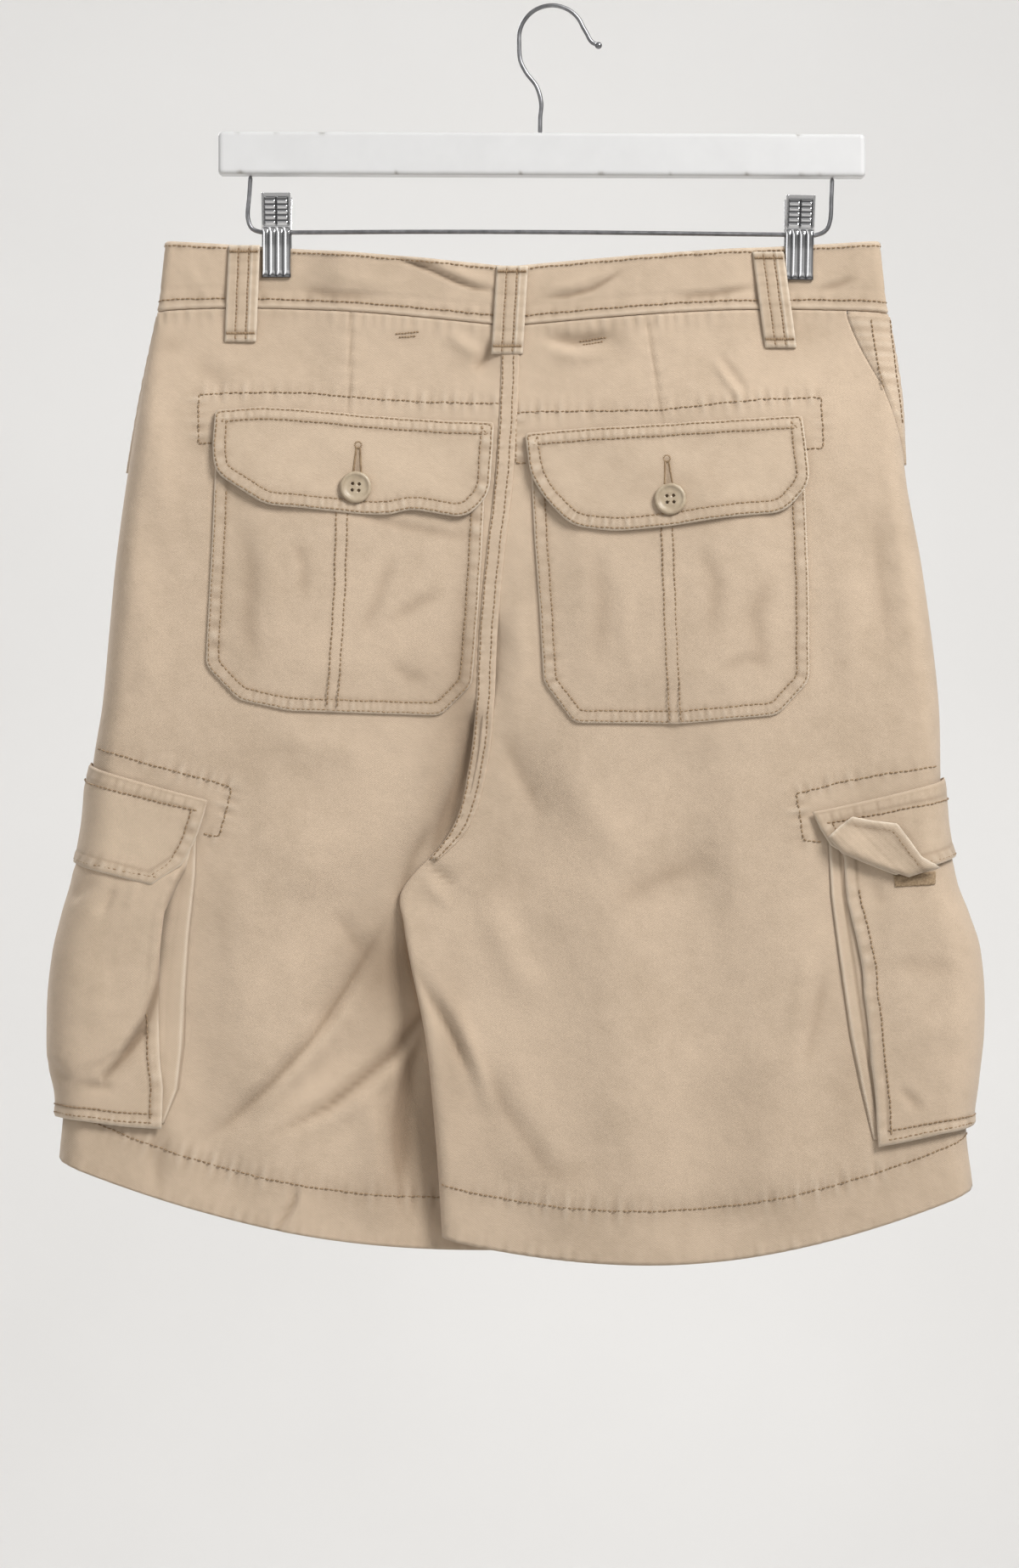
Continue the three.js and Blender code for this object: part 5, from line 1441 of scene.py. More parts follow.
def flap_stitches(stitches, half, table):
    turns = np.linspace(-0.95, 0.95, 110)
    rows = np.linspace(0.12, 0.86, 40)
    lines = [(turns, np.full(110, 0.12)), (turns, np.full(110, 0.88))]
    lines += [(hand * seam_share(half, table, rows, TURNING), rows) for hand in (-1, 1)]
    for s, t in lines:
        q, v = wrapped(half, table, s, t)
        out = cargo_flap_stand(q, v) + cargo_flap_lift(s, t) + FLAP_CLOTH + 0.1
        add_even(stitches, moved_out(body_points, half, q, v, out), normals_of(body_points, half, q, v))


def build_gusset(half, side):
    """A pleated strip between the leg and the cargo bag."""
    rows = np.array(CARGO_GUSSETS[half], dtype=float)
    at = np.linspace(0, 1, 74)
    places = np.linspace(0, 1, len(rows))
    outer = np.stack([np.interp(at, places, rows[:, 0]), np.interp(at, places, rows[:, 2])], axis=1)
    inner = np.stack([np.interp(at, places, rows[:, 1]), np.interp(at, places, rows[:, 2])], axis=1)
    outer_q, outer_v = locate(body_points, half, SEAT, outer[:, 0], outer[:, 1])
    inner_q, inner_v = locate(body_points, half, SEAT, inner[:, 0], inner[:, 1])
    share = np.linspace(0, 1, 22)
    q = -side * lerp(outer_q[:, None], inner_q[:, None], share[None, :])
    v = lerp(outer_v[:, None], inner_v[:, None], share[None, :])
    down = at[:, None]
    swell = 0.25 + 0.75 * np.sin(np.pi * np.clip(down, 0, 1)) ** 0.7
    place = share[None, :] + 0.03 * np.sin(6 * down)
    folded = smoothstep(0, 0.07, place) * (1 - smoothstep(0.6, 0.92, place))
    pleat = np.exp(-(((place - 0.42) / 0.05) ** 2)) * (0.9 if half == "right" else 0.15)
    stand = 0.5 + swell * (1.7 * folded - 0.9 * pleat)
    upper = moved_out(body_points, half, q, v, stand)
    lower = moved_out(body_points, half, q, v, np.maximum(stand - 0.5, 0.1) * np.ones_like(q))
    wear = np.broadcast_to(0.9 * np.exp(-(((place - 0.07) / 0.05) ** 2)), q.shape)
    # Painted shade: a dark line at the leg side, down the pleat, and under the bag's edge.
    dark = np.exp(-((place / 0.035) ** 2)) + 0.8 * pleat + 0.55 * smoothstep(0.6, 0.95, place)
    shade = np.clip(np.broadcast_to(dark, q.shape), 0, 1)
    label = "back" if side == SEAT else "front"
    name = f"cloth_gusset_{label}_{half}"
    piece = wall_from_grid(name, upper, lower, grid_flat(upper), wear, shade)
    finish_piece(piece, TWILL, [f"cargo_gusset_{label}_{half}"])


def build_leaf(stitches):
    """The right cargo flap's corner, folded up on itself."""
    flat, faces = filled_outline(LEAF, 1.3)
    distance, along = line_distance(flat, closed_line(np.array(LEAF)))
    fold_gap, _ = line_distance(flat, [LEAF[7], LEAF[8], LEAF[9], LEAF[10], LEAF[0]])
    roll = 1 - np.clip(fold_gap / 3.5, 0, 1)
    q, v = locate(body_points, "right", SEAT, flat[:, 0], flat[:, 1])
    base = cargo_flap_stand(q, v) + FLAP_CLOTH + 1.2 + 2.0 * smoothstep(0.585, 0.66, v)
    wrinkle = 0.9 * np.sin(flat[:, 0] / 5.5 + flat[:, 1] / 9.0) * smoothstep(1, 6, distance)
    free_gap, _ = line_distance(flat, LEAF[2:8])
    curl = 1.8 * np.exp(-((free_gap / 5.0) ** 2))
    stand = base + 0.8 + wrinkle * 0.7 + curl - 1.6 * roll**2
    upper = moved_out(body_points, "right", q, v, stand + 1.0 - 0.5 * np.clip(1 - distance, 0, 1))
    lower = moved_out(body_points, "right", q, v, stand - 0.2)
    wear = 1.1 * np.exp(-((distance / 1.1) ** 2))
    hem = np.exp(-(((free_gap - 4.6) / 1.2) ** 2))
    # Painted shade along the stitch line, along the fold and in the pucker troughs.
    shade = np.clip(
        0.5 * hem + 0.5 * roll + 0.35 * np.clip(-ripple(flat[:, 0] + flat[:, 1], 4, 5.0), 0, 1), 0, 1
    )
    piece = wall_from_flat("cloth_flap_leaf", flat, faces, upper, lower, wear, shade)
    piece.data.materials.append(TWILL_WORN)
    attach(piece, "root")
    offset = 4.6
    ring = smooth_line(closed_line(inset(LEAF, offset)), STITCH_PITCH)
    ring = ordered_run([p for p in ring if line_distance(p[None, :], LEAF[2:8])[0][0] < offset + 0.4])
    rq, rv = locate(body_points, "right", SEAT, ring[:, 0], ring[:, 1])
    rise = cargo_flap_stand(rq, rv) + FLAP_CLOTH + 1.2 + 2.0 * smoothstep(0.585, 0.66, rv) + 2.2
    rise = rise + 0.63 * np.sin(ring[:, 0] / 5.5 + ring[:, 1] / 9.0)
    stitches.add(moved_out(body_points, "right", rq, rv, rise), normals_of(body_points, "right", rq, rv))


def build_grip():
    """Loop tape: a low strip with a fuzzy face."""
    flat, faces = filled_outline(GRIP_PATCH, 0.8)
    distance, _ = line_distance(flat, closed_line(np.array(GRIP_PATCH)))
    q, v = locate(body_points, "right", SEAT, flat[:, 0], flat[:, 1])
    rng = np.random.default_rng(4)
    base = bag_stand(q, v) + POCKET_CLOTH + 0.9
    fuzz = 0.35 * rng.random(len(flat))
    upper = moved_out(body_points, "right", q, v, base + 1.0 + fuzz - 0.5 * np.clip(1 - distance, 0, 1))
    lower = moved_out(body_points, "right", q, v, base - 0.4)
    piece = wall_from_flat("grip_tape", flat, faces, upper, lower)
    finish_piece(piece, GRIP, ["grip_patch_right"])


def build_facing(half):
    """The facing of the slanting hip pocket, beside the side seam."""
    levels = np.linspace(0.004, SEAM_TURN_END - 0.004, 60)
    share = np.linspace(0, 1, 22)
    seam = seam_turn(half, levels)
    wide = lerp(0.2, 0.03, levels / SEAM_TURN_END)
    q = seam[:, None] - 0.002 + wide[:, None] * share[None, :]
    v = np.repeat(levels[:, None], len(share), axis=1)
    points = body_points(half, q, v)
    along = np.repeat(np.linspace(0, 105, 60)[:, None], len(share), axis=1)
    distance = np.minimum(share, 1 - share)[None, :] * (wide[:, None] * 230)
    waves = ripple(along.ravel(), 21).reshape(along.shape)
    height = (
        1.0 + 0.3 * waves * np.exp(-(((distance - 3) / 3) ** 2)) - 0.5 * np.exp(-((distance / 0.6) ** 2))
    )
    free = np.repeat(smoothstep(0, 0.14, share)[None, :], len(levels), axis=0)
    upper = moved_out(body_points, half, q, v, lerp(0.05, 0.4 + height, free))
    lower = moved_out(body_points, half, q, v, lerp(-0.4, 0.3, free))
    wear = 0.6 * np.clip(waves, 0, 1)
    # Painted shade in the pucker troughs.
    shade = 0.35 * np.clip(-waves, 0, 1)
    piece = wall_from_grid(f"cloth_facing_{half}", upper, lower, points[..., [0, 2]], wear, shade)
    finish_piece(piece, TWILL, [f"hip_facing_{half}"])


HIP_STITCHES = [
    [(187.5, -184), (190, -205), (194, -226)],
    [(197.5, -184), (200.5, -212), (204, -246)],
]


def facing_stitches(stitches):
    for line in HIP_STITCHES:
        flat = smooth_line(line, STITCH_PITCH)
        stitches.add(on_cloth("right", SEAT, flat, np.full(len(flat), 1.7)), normals_on("right", SEAT, flat))


def build_fly(stitches):
    def height_at(flat, distance, along):
        height, wear, shade = patch_profile(distance, along, 1.2, 17, closed_line(FLY_OUTLINE))
        return height, np.zeros(len(flat)), wear, shade

    build_patch(
        "cloth_fly", "left", FLY, FLY_OUTLINE, 2.4, height_at, "fly_placket", TWILL_WORN,
    )
    for distance in (TURNING, SEWN_EDGE):
        stitch_line(stitches, "left", FLY, closed_line(inset(FLY_OUTLINE, distance)), LAY + 1.35)


def cloth_reach(side, x, z):
    """How far out the cloth lies, at places in X and Z on one side."""
    reach = np.zeros(len(x))
    for half in ("left", "right"):
        mine = (x < BAND_CENTRE[0]) == (half == "left")
        if not mine.any():
            continue
        q, h = locate(band_points, half, side, x[mine], z[mine])
        band = np.abs(band_points(half, q, np.clip(h, 0, 1))[:, 1])
        q, v = locate(body_points, half, side, x[mine], z[mine])
        body = np.abs(body_points(half, q, np.clip(v, 0, 1))[:, 1])
        reach[mine] = np.where(h >= 0, band, body)
    return reach


def loop_reach(side, x, z):
    """How far out a loop lies along its run, smoothed over the seams under it."""
    spans = [cloth_reach(side, x + share * LOOP_WIDTH, z) for share in (-0.5, 0, 0.5)]
    reach = np.max(spans, axis=0)
    reach = np.max([reach, np.roll(reach, 2), np.roll(reach, -2)], axis=0)
    reach[:2], reach[-2:] = reach[2], reach[-3]
    return np.convolve(np.pad(reach, 3, mode="edge"), np.ones(7) / 7, mode="valid")


def loop_relief(across, t, waves):
    """A loop's height, wear and shade: rolled edges, two lines of stitches and a tack at each end."""
    distance = (0.5 - np.abs(across)) * LOOP_WIDTH
    profile = 1.9 - 0.9 * (1 - np.sqrt(1 - np.clip(1 - distance / 0.9, 0, 1) ** 2))
    for groove, ridge in ((-0.16, -0.22), (0.17, 0.25)):
        profile -= 0.5 * np.exp(-(((across - groove) * LOOP_WIDTH / 0.6) ** 2))
        profile += 0.25 * np.exp(-(((across - ridge) * LOOP_WIDTH / 0.7) ** 2))
    ends = np.minimum(t, 1 - t)[:, None] * 57
    tack = 0.35 * np.exp(-(((t[:, None] - LOOP_TACK) * 57 / 1.2) ** 2))
    height = profile[None, :] + 0.22 * waves * np.exp(-(((distance[None, :] - 4.4) / 2.4) ** 2)) - tack
    height -= 0.9 * (1 - np.sqrt(1 - np.clip(1 - ends / 0.8, 0, 1) ** 2))
    wear = np.exp(-((distance[None, :] / 1.2) ** 2)) + np.exp(-((ends / 1.2) ** 2))
    wear = np.clip(wear, 0, 1) * np.ones_like(height)
    wear = np.clip(wear + 0.9 * np.exp(-(((across - 0.25) * LOOP_WIDTH / 0.7) ** 2))[None, :], 0, 1)
    grooves = [np.exp(-(((across - at) * LOOP_WIDTH / 0.8) ** 2)) for at in (-0.16, 0.18)]
    tacks = [np.exp(-(((t[:, None] - at) * 57 / 1.8) ** 2)) for at in (LOOP_TACK, 0.07)]
    # Painted shade in the stitch grooves and the pucker troughs, and darker at the bar tacks.
    shade = 0.5 * sum(grooves)[None, :] + 0.6 * (tacks[0] + tacks[1]) + 0.3 * np.clip(-waves, 0, 1)
    return height, wear, np.clip(shade, 0, 1)


def loop_stitches(upper, side, stitches):
    """Two lines down a loop, and a zigzag tack across each end."""
    steps = len(upper)
    facing = np.array([[0.0, side, 0.0]])
    for column_at in (7, 14):
        line = upper[1:-1, column_at] + np.array([0, side * 0.28, 0])
        even = smooth_line(line, 2.4)
        stitches.add(even, np.tile(facing, (len(even), 1)))
    for row in (int(LOOP_TACK * steps), 3):
        for k in range(1, 20):
            a = upper[row, k] + np.array([0, side * 0.2, 1.0 if k % 2 else -1.0])
            b = upper[row, k + 1] + np.array([0, side * 0.2, -1.0 if k % 2 else 1.0])
            stitches.add(np.array([a, b]), np.tile(facing, (2, 1)))


def build_loop(label, side, top_x, top_z, low_x, low_z, stitches):
    t = np.linspace(0, 1, LOOP_STEPS)
    across = np.linspace(-0.5, 0.5, 22)
    x = lerp(top_x, low_x, t)
    z = lerp(top_z, low_z, t)
    reach = loop_reach(side, x, z)
    arch = 0.8 * np.sin(np.pi * t) + 0.35
    run = t * math.hypot(top_x - low_x, top_z - low_z)
    waves = ripple(np.tile(run[:, None], (1, 22)).ravel(), len(label), 6.5).reshape(LOOP_STEPS, 22)
    height, wear, shade = loop_relief(across, t, waves)

    def grid(out):
        y = side * (reach[:, None] + arch[:, None] + out)
        wide = x[:, None] + across[None, :] * LOOP_WIDTH
        return np.stack([wide, y * np.ones((1, 22)), np.repeat(z[:, None], 22, axis=1)], axis=-1)

    upper = grid(height)
    piece = wall_from_grid(
        f"cloth_loop_{label}", upper, grid(np.zeros_like(height)), upper[..., [0, 2]], wear, shade
    )
    finish_piece(piece, TWILL_WORN, [f"belt_loop_{label}"])
    loop_stitches(upper, side, stitches)


def ring_points(radius, count, centre=(0, 0)):
    turn = np.linspace(0, 2 * math.pi, count + 1)[:-1]
    return np.stack([centre[0] + radius * np.cos(turn), centre[1] + radius * np.sin(turn)], axis=1)


def slab_faces(faces, count):
    """Faces above, below and round the open edges of a slab of two layers of points."""
    sides = {}
    for f in faces:
        for a, b in zip(f, f[1:] + f[:1]):
            if (b, a) in sides:
                del sides[(b, a)]
            else:
                sides[(a, b)] = True
    under = [[i + count for i in f[::-1]] for f in faces]
    rim = [[b, a, a + count, b + count] for a, b in sides]
    return faces + under + rim


def build_button(name, node, place, facing, radius, stitches):
    """A four-hole button with a raised rim."""
    centres = [(sx * 1.9, sy * 1.9) for sx in (-1, 1) for sy in (-1, 1)]
    holes = [ring_points(1.05, 14, c) for c in centres]
    rings = [
        ring_points(radius * share, 64) for share in (1, 0.985, 0.95, 0.9, 0.85, 0.8, 0.76, 0.7, 0.55, 0.42)
    ]
    centre = [(0.0, 0.0), (1.9, 0.0), (-1.9, 0.0), (0.0, 1.9), (0.0, -1.9)]
    points = np.vstack(rings + holes + [np.array(centre)])
    edges = [(i, (i + 1) % 64) for i in range(64)]
    start = 64 * len(rings)
    for k in range(4):
        edges += [(start + k * 14 + i, start + k * 14 + (i + 1) % 14) for i in range(14)]
    made = geometry.delaunay_2d_cdt([Vector(p) for p in points.tolist()], edges, [], 1, 1e-5)
    flat = np.array([tuple(p) for p in made[0]])
    faces = []
    for face in made[2]:
        middle = flat[list(face)].mean(axis=0)
        if min(np.hypot(*(middle - np.array(c))) for c in centres) > 0.98:
            faces.append(list(face))
    r = np.hypot(flat[:, 0], flat[:, 1]) / radius
    height = np.interp(
        r, [0, 0.66, 0.74, 0.8, 0.87, 0.94, 0.98, 1], [2.0, 2.15, 2.7, 3.15, 3.2, 3.0, 2.5, 1.9]
    )
    low = np.interp(r, [0, 0.9, 1], [0, 0.1, 0.9])
    turn = Vector((0, 0, 1)).rotation_difference(Vector(facing))
    basis = np.array(turn.to_matrix())
    stack = np.vstack([np.column_stack([flat, height]), np.column_stack([flat, low])])
    world = stack @ basis.T + place
    piece = make_mesh(name, world, turned_out(world, slab_faces(faces, len(flat))), np.vstack([flat, flat]))
    finish_piece(piece, HORN, [node])
    for pair in (((-1.9, -1.9), (1.9, -1.9)), ((-1.9, 1.9), (1.9, 1.9))):
        for shift in (-0.35, 0.35):
            strand = np.array([(end[0], end[1] + shift, 0.9) for end in pair])
            stitches.add(strand @ basis.T + place, np.tile(np.asarray(facing)[None, :], (2, 1)))


# The hanger

BAR = {"left": -196, "right": 184, "top": -74.5, "tall": 25, "deep": 13, "tilt": 0.0042}
RODS = [
    (-177.5, -99.1), (-178.2, -110), (-179, -124), (-176.6, -130), (-170.5, -132.3), (-161, -132.4),
    (-80, -132), (0, -132.2), (80, -133), (145, -133.8), (155.5, -133.9), (161.4, -131), (163.8, -125),
    (164.5, -112), (165, -100.5),
]
HOOK_FOOT = [(-7, -74.2), (-7, -65), (-6.4, -56), (-9, -46.5), (-15, -38.5), (-18.6, -31)]
HOOK_END = [(20.6, -15.5), (23.2, -20), (27, -22.2)]
HOOK_RADIUS = 19.5
HOOK_CENTRE = -18.2
JAW = [(22, 8.6), (4, 3.6), (1, 3.1), (-3, 3.3), (-8, 3.45), (-24, 3.45), (-27, 3.4)]
CLIP_WIDTH = 17


def spline(points, step, closed=False):
    """A smooth line through points, at even steps."""
    points = np.asarray(points, dtype=float)
    padded = np.vstack([2 * points[0] - points[1], points, 2 * points[-1] - points[-2]])
    pieces = []
    for a, b, c, d in zip(padded[:-3], padded[1:-2], padded[2:-1], padded[3:]):
        knots = np.cumsum(
            [0] + [max(np.linalg.norm(q - p), 1e-6) ** 0.5 for p, q in ((a, b), (b, c), (c, d))]
        )
        t = np.linspace(knots[1], knots[2], 12)[:-1, None]
        def mix(p, q, k0, k1):
            return (k1 - t) / (k1 - k0) * p + (t - k0) / (k1 - k0) * q
        ab = mix(a, b, knots[0], knots[1])
        bc = mix(b, c, knots[1], knots[2])
        cd = mix(c, d, knots[2], knots[3])
        abc, bcd = mix(ab, bc, knots[0], knots[2]), mix(bc, cd, knots[1], knots[3])
        pieces.append(mix(abc, bcd, knots[1], knots[2]))
    pieces.append(points[-1:])
    return smooth_line(np.vstack(pieces), step)


def tube(line, radius, sides=16):
    """Points and faces of a round wire in the plane Y = 0, rounded at its ends."""
    line = np.asarray(line, dtype=float)
    along = np.gradient(line, axis=0)
    along /= np.linalg.norm(along, axis=1, keepdims=True)
    across = np.stack([-along[:, 1], along[:, 0]], axis=1)
    turn = np.linspace(0, 2 * math.pi, sides + 1)[:-1]
    points = []
    for k, (x, z) in enumerate(line):
        size = radius * (0.6 if k in (0, len(line) - 1) else 1)
        ring = [
            (
                x + across[k, 0] * size * math.cos(a), size * math.sin(a),
                z + across[k, 1] * size * math.cos(a)
            )
            for a in turn
        ]
        points.extend(ring)
    faces = []
    for k in range(len(line) - 1):
        for i in range(sides):
            j = (i + 1) % sides
            faces.append([k * sides + i, k * sides + j, (k + 1) * sides + j, (k + 1) * sides + i])
    faces.append(list(range(sides))[::-1])
    faces.append([(len(line) - 1) * sides + i for i in range(sides)])
    return points, faces


def build_wires():
    rod_points, rod_faces = tube(spline(RODS, 1.6), 1.3)
    rod = make_mesh(
        "steel_rod", rod_points, turned_out(rod_points, rod_faces), np.array(rod_points)[:, [0, 2]]
    )
    finish_piece(rod, STEEL, ["hanger_rod"])
    crown = [
        (HOOK_RADIUS * math.cos(math.radians(a)), HOOK_CENTRE + HOOK_RADIUS * math.sin(math.radians(a)))
        for a in range(185, 15, -15)
    ]
    points, faces = tube(spline(HOOK_FOOT + crown + HOOK_END, 1.2), 1.3)
    base = len(points)
    ball_rings, ball_sides = 10, 20
    for i in range(ball_rings + 1):
        lift = math.pi * i / ball_rings
        for j in range(ball_sides):
            a = 2 * math.pi * j / ball_sides
            out = 2.1 * math.sin(lift)
            points.append((27.4 + out * math.cos(a), out * math.sin(a), -22.3 + 2.1 * math.cos(lift)))
    for i in range(ball_rings):
        for j in range(ball_sides):
            a = base + i * ball_sides + j
            b = base + i * ball_sides + (j + 1) % ball_sides
            faces.append([a, b, b + ball_sides, a + ball_sides])
    hook = make_mesh("steel_hook", points, turned_out(points, faces), np.array(points)[:, [0, 2]])
    finish_piece(hook, STEEL, ["hanger_hook"])


def bar_ring(y, z, corner):
    """The bar's outline across its length, with rounded corners."""
    ring = []
    for turned, (cy, cz) in enumerate(((1, 1), (-1, 1), (-1, -1), (1, -1))):
        for a in np.linspace(90 * turned, 90 * turned + 90, 7):
            at = math.radians(a)
            across = cy * (y - corner) + corner * math.cos(at)
            ring.append((across, cz * (z - corner) + corner * math.sin(at)))
    return smooth_line(closed_line(np.array(ring)), 1.15)[:-1]


def bar_chips(x, ring, y, z):
    """Knocks along the bar's long edges."""
    rng = np.random.default_rng(11)
    chips = np.zeros((len(x), len(ring)))
    for _ in range(26):
        cx = rng.uniform(BAR["left"], BAR["right"])
        k = rng.integers(0, 4)
        cy, cz = ((y, z), (-y, z), (-y, -z), (y, -z))[k]
        wide = rng.uniform(0.6, 1.8)
        off_edge = (ring[None, :, 0] - cy) ** 2 + (ring[None, :, 1] - cz) ** 2
        chips = np.maximum(chips, np.exp(-(((x[:, None] - cx) / wide) ** 2 + off_edge / 2.6)))
    return chips


def closed_tube_faces(rows, count):
    """The faces of a closed run of rings, with a face at each end."""
    faces = []
    for i in range(rows - 1):
        for j in range(count):
            k = (j + 1) % count
            faces.append([i * count + j, i * count + k, (i + 1) * count + k, (i + 1) * count + j])
    faces.append(list(range(count))[::-1])
    faces.append([(rows - 1) * count + j for j in range(count)])
    return faces


def build_bar():
    """The painted bar, with eased edges knocked and chipped here and there."""
    y, z = BAR["deep"] / 2, BAR["tall"] / 2
    ring = bar_ring(y, z, 1.8)
    x = np.linspace(BAR["left"], BAR["right"], 230)
    ends = np.minimum(x - BAR["left"], BAR["right"] - x)
    shrink = 1.2 * (1 - np.sqrt(1 - np.clip(1 - ends / 1.2, 0, 1) ** 2))
    points = np.zeros((len(x), len(ring), 3))
    near_corner = (
        np.clip(1 - np.abs(np.abs(ring[:, 1]) - z) / 3, 0, 1)
        * np.clip(1 - np.abs(np.abs(ring[:, 0]) - y) / 3, 0, 1)
    )
    chips = bar_chips(x, ring, y, z)
    for i, at in enumerate(x):
        size = 1 - shrink[i] / y
        points[i, :, 0] = at
        points[i, :, 1] = ring[:, 0] * size
        points[i, :, 2] = ring[:, 1] * (1 - shrink[i] / z) + BAR["top"] - z - (at + 6) * BAR["tilt"]
    inward = -np.stack([ring[:, 0], ring[:, 1]], axis=1)
    inward /= np.linalg.norm(inward, axis=1, keepdims=True)
    points[:, :, 1] += 0.5 * chips * inward[None, :, 0]
    points[:, :, 2] += 0.5 * chips * inward[None, :, 1]
    faces = closed_tube_faces(len(x), len(ring))
    flat = points.reshape(-1, 3)
    wear = np.clip(chips.ravel() * 1.2 + 0.15 * np.tile(near_corner, len(x)), 0, 1)
    piece = make_mesh("painted_bar", flat, turned_out(flat, faces), flat[:, [0, 2]], wear)
    finish_piece(piece, PAINT, ["hanger_bar"])


def build_jaw(half, side, rod_z, tilt):
    """A pressed clip jaw: turned flanges, two columns of grip ribs, and four flutes, with painted dark
    reflection in the grip zone, the flute grooves and the lower lip.
    """
    across = np.linspace(0, 1, 53)
    levels = np.concatenate([np.linspace(22, 3, 50), np.linspace(2.6, -27, 22)])
    share, z = np.meshgrid(across, levels)
    rows = np.array(JAW)
    y = np.interp(-z, -rows[:, 0], rows[:, 1])
    flute = 0.95 * np.abs(np.sin(4 * np.pi * share)) ** 0.7 * smoothstep(3, 0, z) * smoothstep(-26.5, -24, z)
    columns = smoothstep(0.1, 0.14, share) * smoothstep(0.48, 0.44, share)
    columns = columns + smoothstep(0.52, 0.56, share) * smoothstep(0.9, 0.86, share)
    ribs = (
        0.8
        * columns
        * (0.5 + 0.5 * np.cos(2 * np.pi * (z - 5) / 3.0))
        * smoothstep(3.5, 4.2, z)
        * smoothstep(20, 19, z)
    )
    flange = 0.9 * (smoothstep(0.07, 0.03, share) + smoothstep(0.93, 0.97, share)) * smoothstep(2, 4, z)
    lip = 0.35 * smoothstep(-24.5, -25.5, z)
    turn = np.minimum(share, 1 - share) * CLIP_WIDTH
    rounding = 0.5 * (1 - np.sqrt(1 - np.clip(1 - turn / 0.6, 0, 1) ** 2))
    x = (share - 0.5) * CLIP_WIDTH
    upper = np.stack([x, side * (y + 1.1 + flute + ribs + flange + lip - rounding), z], axis=-1)
    lower = np.stack([x, side * y, z], axis=-1)
    cos, sin = math.cos(tilt), math.sin(tilt)
    for grid in (upper, lower):
        gx, gz = grid[..., 0].copy(), grid[..., 2].copy()
        grid[..., 0] = gx * cos + gz * sin + PINCH_X[half]
        grid[..., 2] = -gx * sin + gz * cos + rod_z
    label = "back" if side == SEAT else "front"
    # Painted dark reflection, carried in the wear attribute: the grip zone between the ribs, the flute
    # grooves and the lower lip.
    grip = (
        smoothstep(3.5, 4.5, z)
        * smoothstep(20.5, 19, z)
        * (1 - np.clip(ribs / 0.8, 0, 1))
        * smoothstep(0.06, 0.1, share)
    )
    groove = (1 - np.abs(np.sin(4 * np.pi * share)) ** 0.5) * smoothstep(2, 0, z)
    dark = np.clip(grip * smoothstep(0.95, 0.91, share) + 0.9 * groove + smoothstep(-25, -26, z), 0, 1)
    piece = wall_from_grid(f"clip_{label}_{half}", upper, lower, upper[..., [0, 2]], dark)
    finish_piece(piece, CHROME, [f"clip_jaw_{label}_{half}"])


def solid_material(name, stops, roughness, metallic, scale, strength, distance, worn=None):
    material, tree, shader = node_material(name)
    position = tree.nodes.new("ShaderNodeTexCoord").outputs["Object"]
    grain = noise(tree, position, scale, 4.0)
    color = ramp(tree, grain, stops)
    # The worn colour goes where the wear attribute is: chips in the bar's paint, and painted dark reflection
    # on the clips.
    if worn is not None:
        color = mix_color(
            tree, math_node(tree, "MULTIPLY", attribute(tree, "wear"), 1.0, clamp=True), color, worn
        )
    tree.links.new(color, shader.inputs["Base Color"])
    shader.inputs["Metallic"].default_value = metallic
    rough = ramp(
        tree, noise(tree, position, scale * 0.4, 2.0),
        [(0.3, (roughness * 0.8,) * 3), (0.7, (roughness * 1.2,) * 3)]
    )
    tree.links.new(rough, shader.inputs["Roughness"])
    bump(tree, shader, grain, strength, distance)
    return material


HORN = solid_material(
    "horn_button", [(0.3, (0.36, 0.28, 0.19)), (0.7, (0.50, 0.41, 0.29))], 0.38, 0.0, 160, 0.12, 0.0002
)
PAINT = solid_material(
    "white_paint", [(0.3, (0.64, 0.637, 0.633)), (0.7, (0.67, 0.667, 0.663))], 0.38, 0.0, 60, 0.15, 0.0003,
    (0.34, 0.32, 0.30)
)
STEEL = solid_material(
    "steel_wire", [(0.3, (0.20, 0.20, 0.205)), (0.7, (0.32, 0.32, 0.33))], 0.36, 1.0, 220, 0.1, 0.0001
)
# Its second colour is painted dark reflection, laid on the clips through the wear attribute.
CHROME = solid_material(
    "chrome", [(0.3, (0.80, 0.80, 0.81)), (0.7, (0.90, 0.90, 0.91))], 0.12, 1.0, 90, 0.05, 0.0001,
    (0.10, 0.10, 0.105)
)
GRIP = solid_material(
    "grip_tape", [(0.35, (0.26, 0.175, 0.10)), (0.65, (0.40, 0.29, 0.18))], 0.9, 0.0, 900, 0.6, 0.0004
)
TWILL_WORN = twill("twill_khaki_worn", (0.562, 0.438, 0.318), (0.515, 0.397, 0.284), (0.74, 0.64, 0.51))


def button_place(half):
    x, z = BACK_BUTTONS[half]
    flat = np.array([[x, z]])
    stand = LAY + POCKET_CLOTH + LAY + FLAP_CLOTH + flap_lift(half, flat) + 0.5
    return on_cloth(half, SEAT, flat, stand)[0], normals_on(half, SEAT, flat)[0]


def seam_edges(side, v):
    """The seam strip's two edges, and the way that it faces."""
    ends, turned = [], 0
    for half, reach in SEAM_REACH.items():
        u = np.full_like(v, 1 - (reach / 8) * INSEAM_SHARE)
        ends.append(body_points(half, side * u, v))
        turned = turned + normals_of(body_points, half, side * u, v)
    return *ends, turned / np.linalg.norm(turned, axis=1)[:, None]


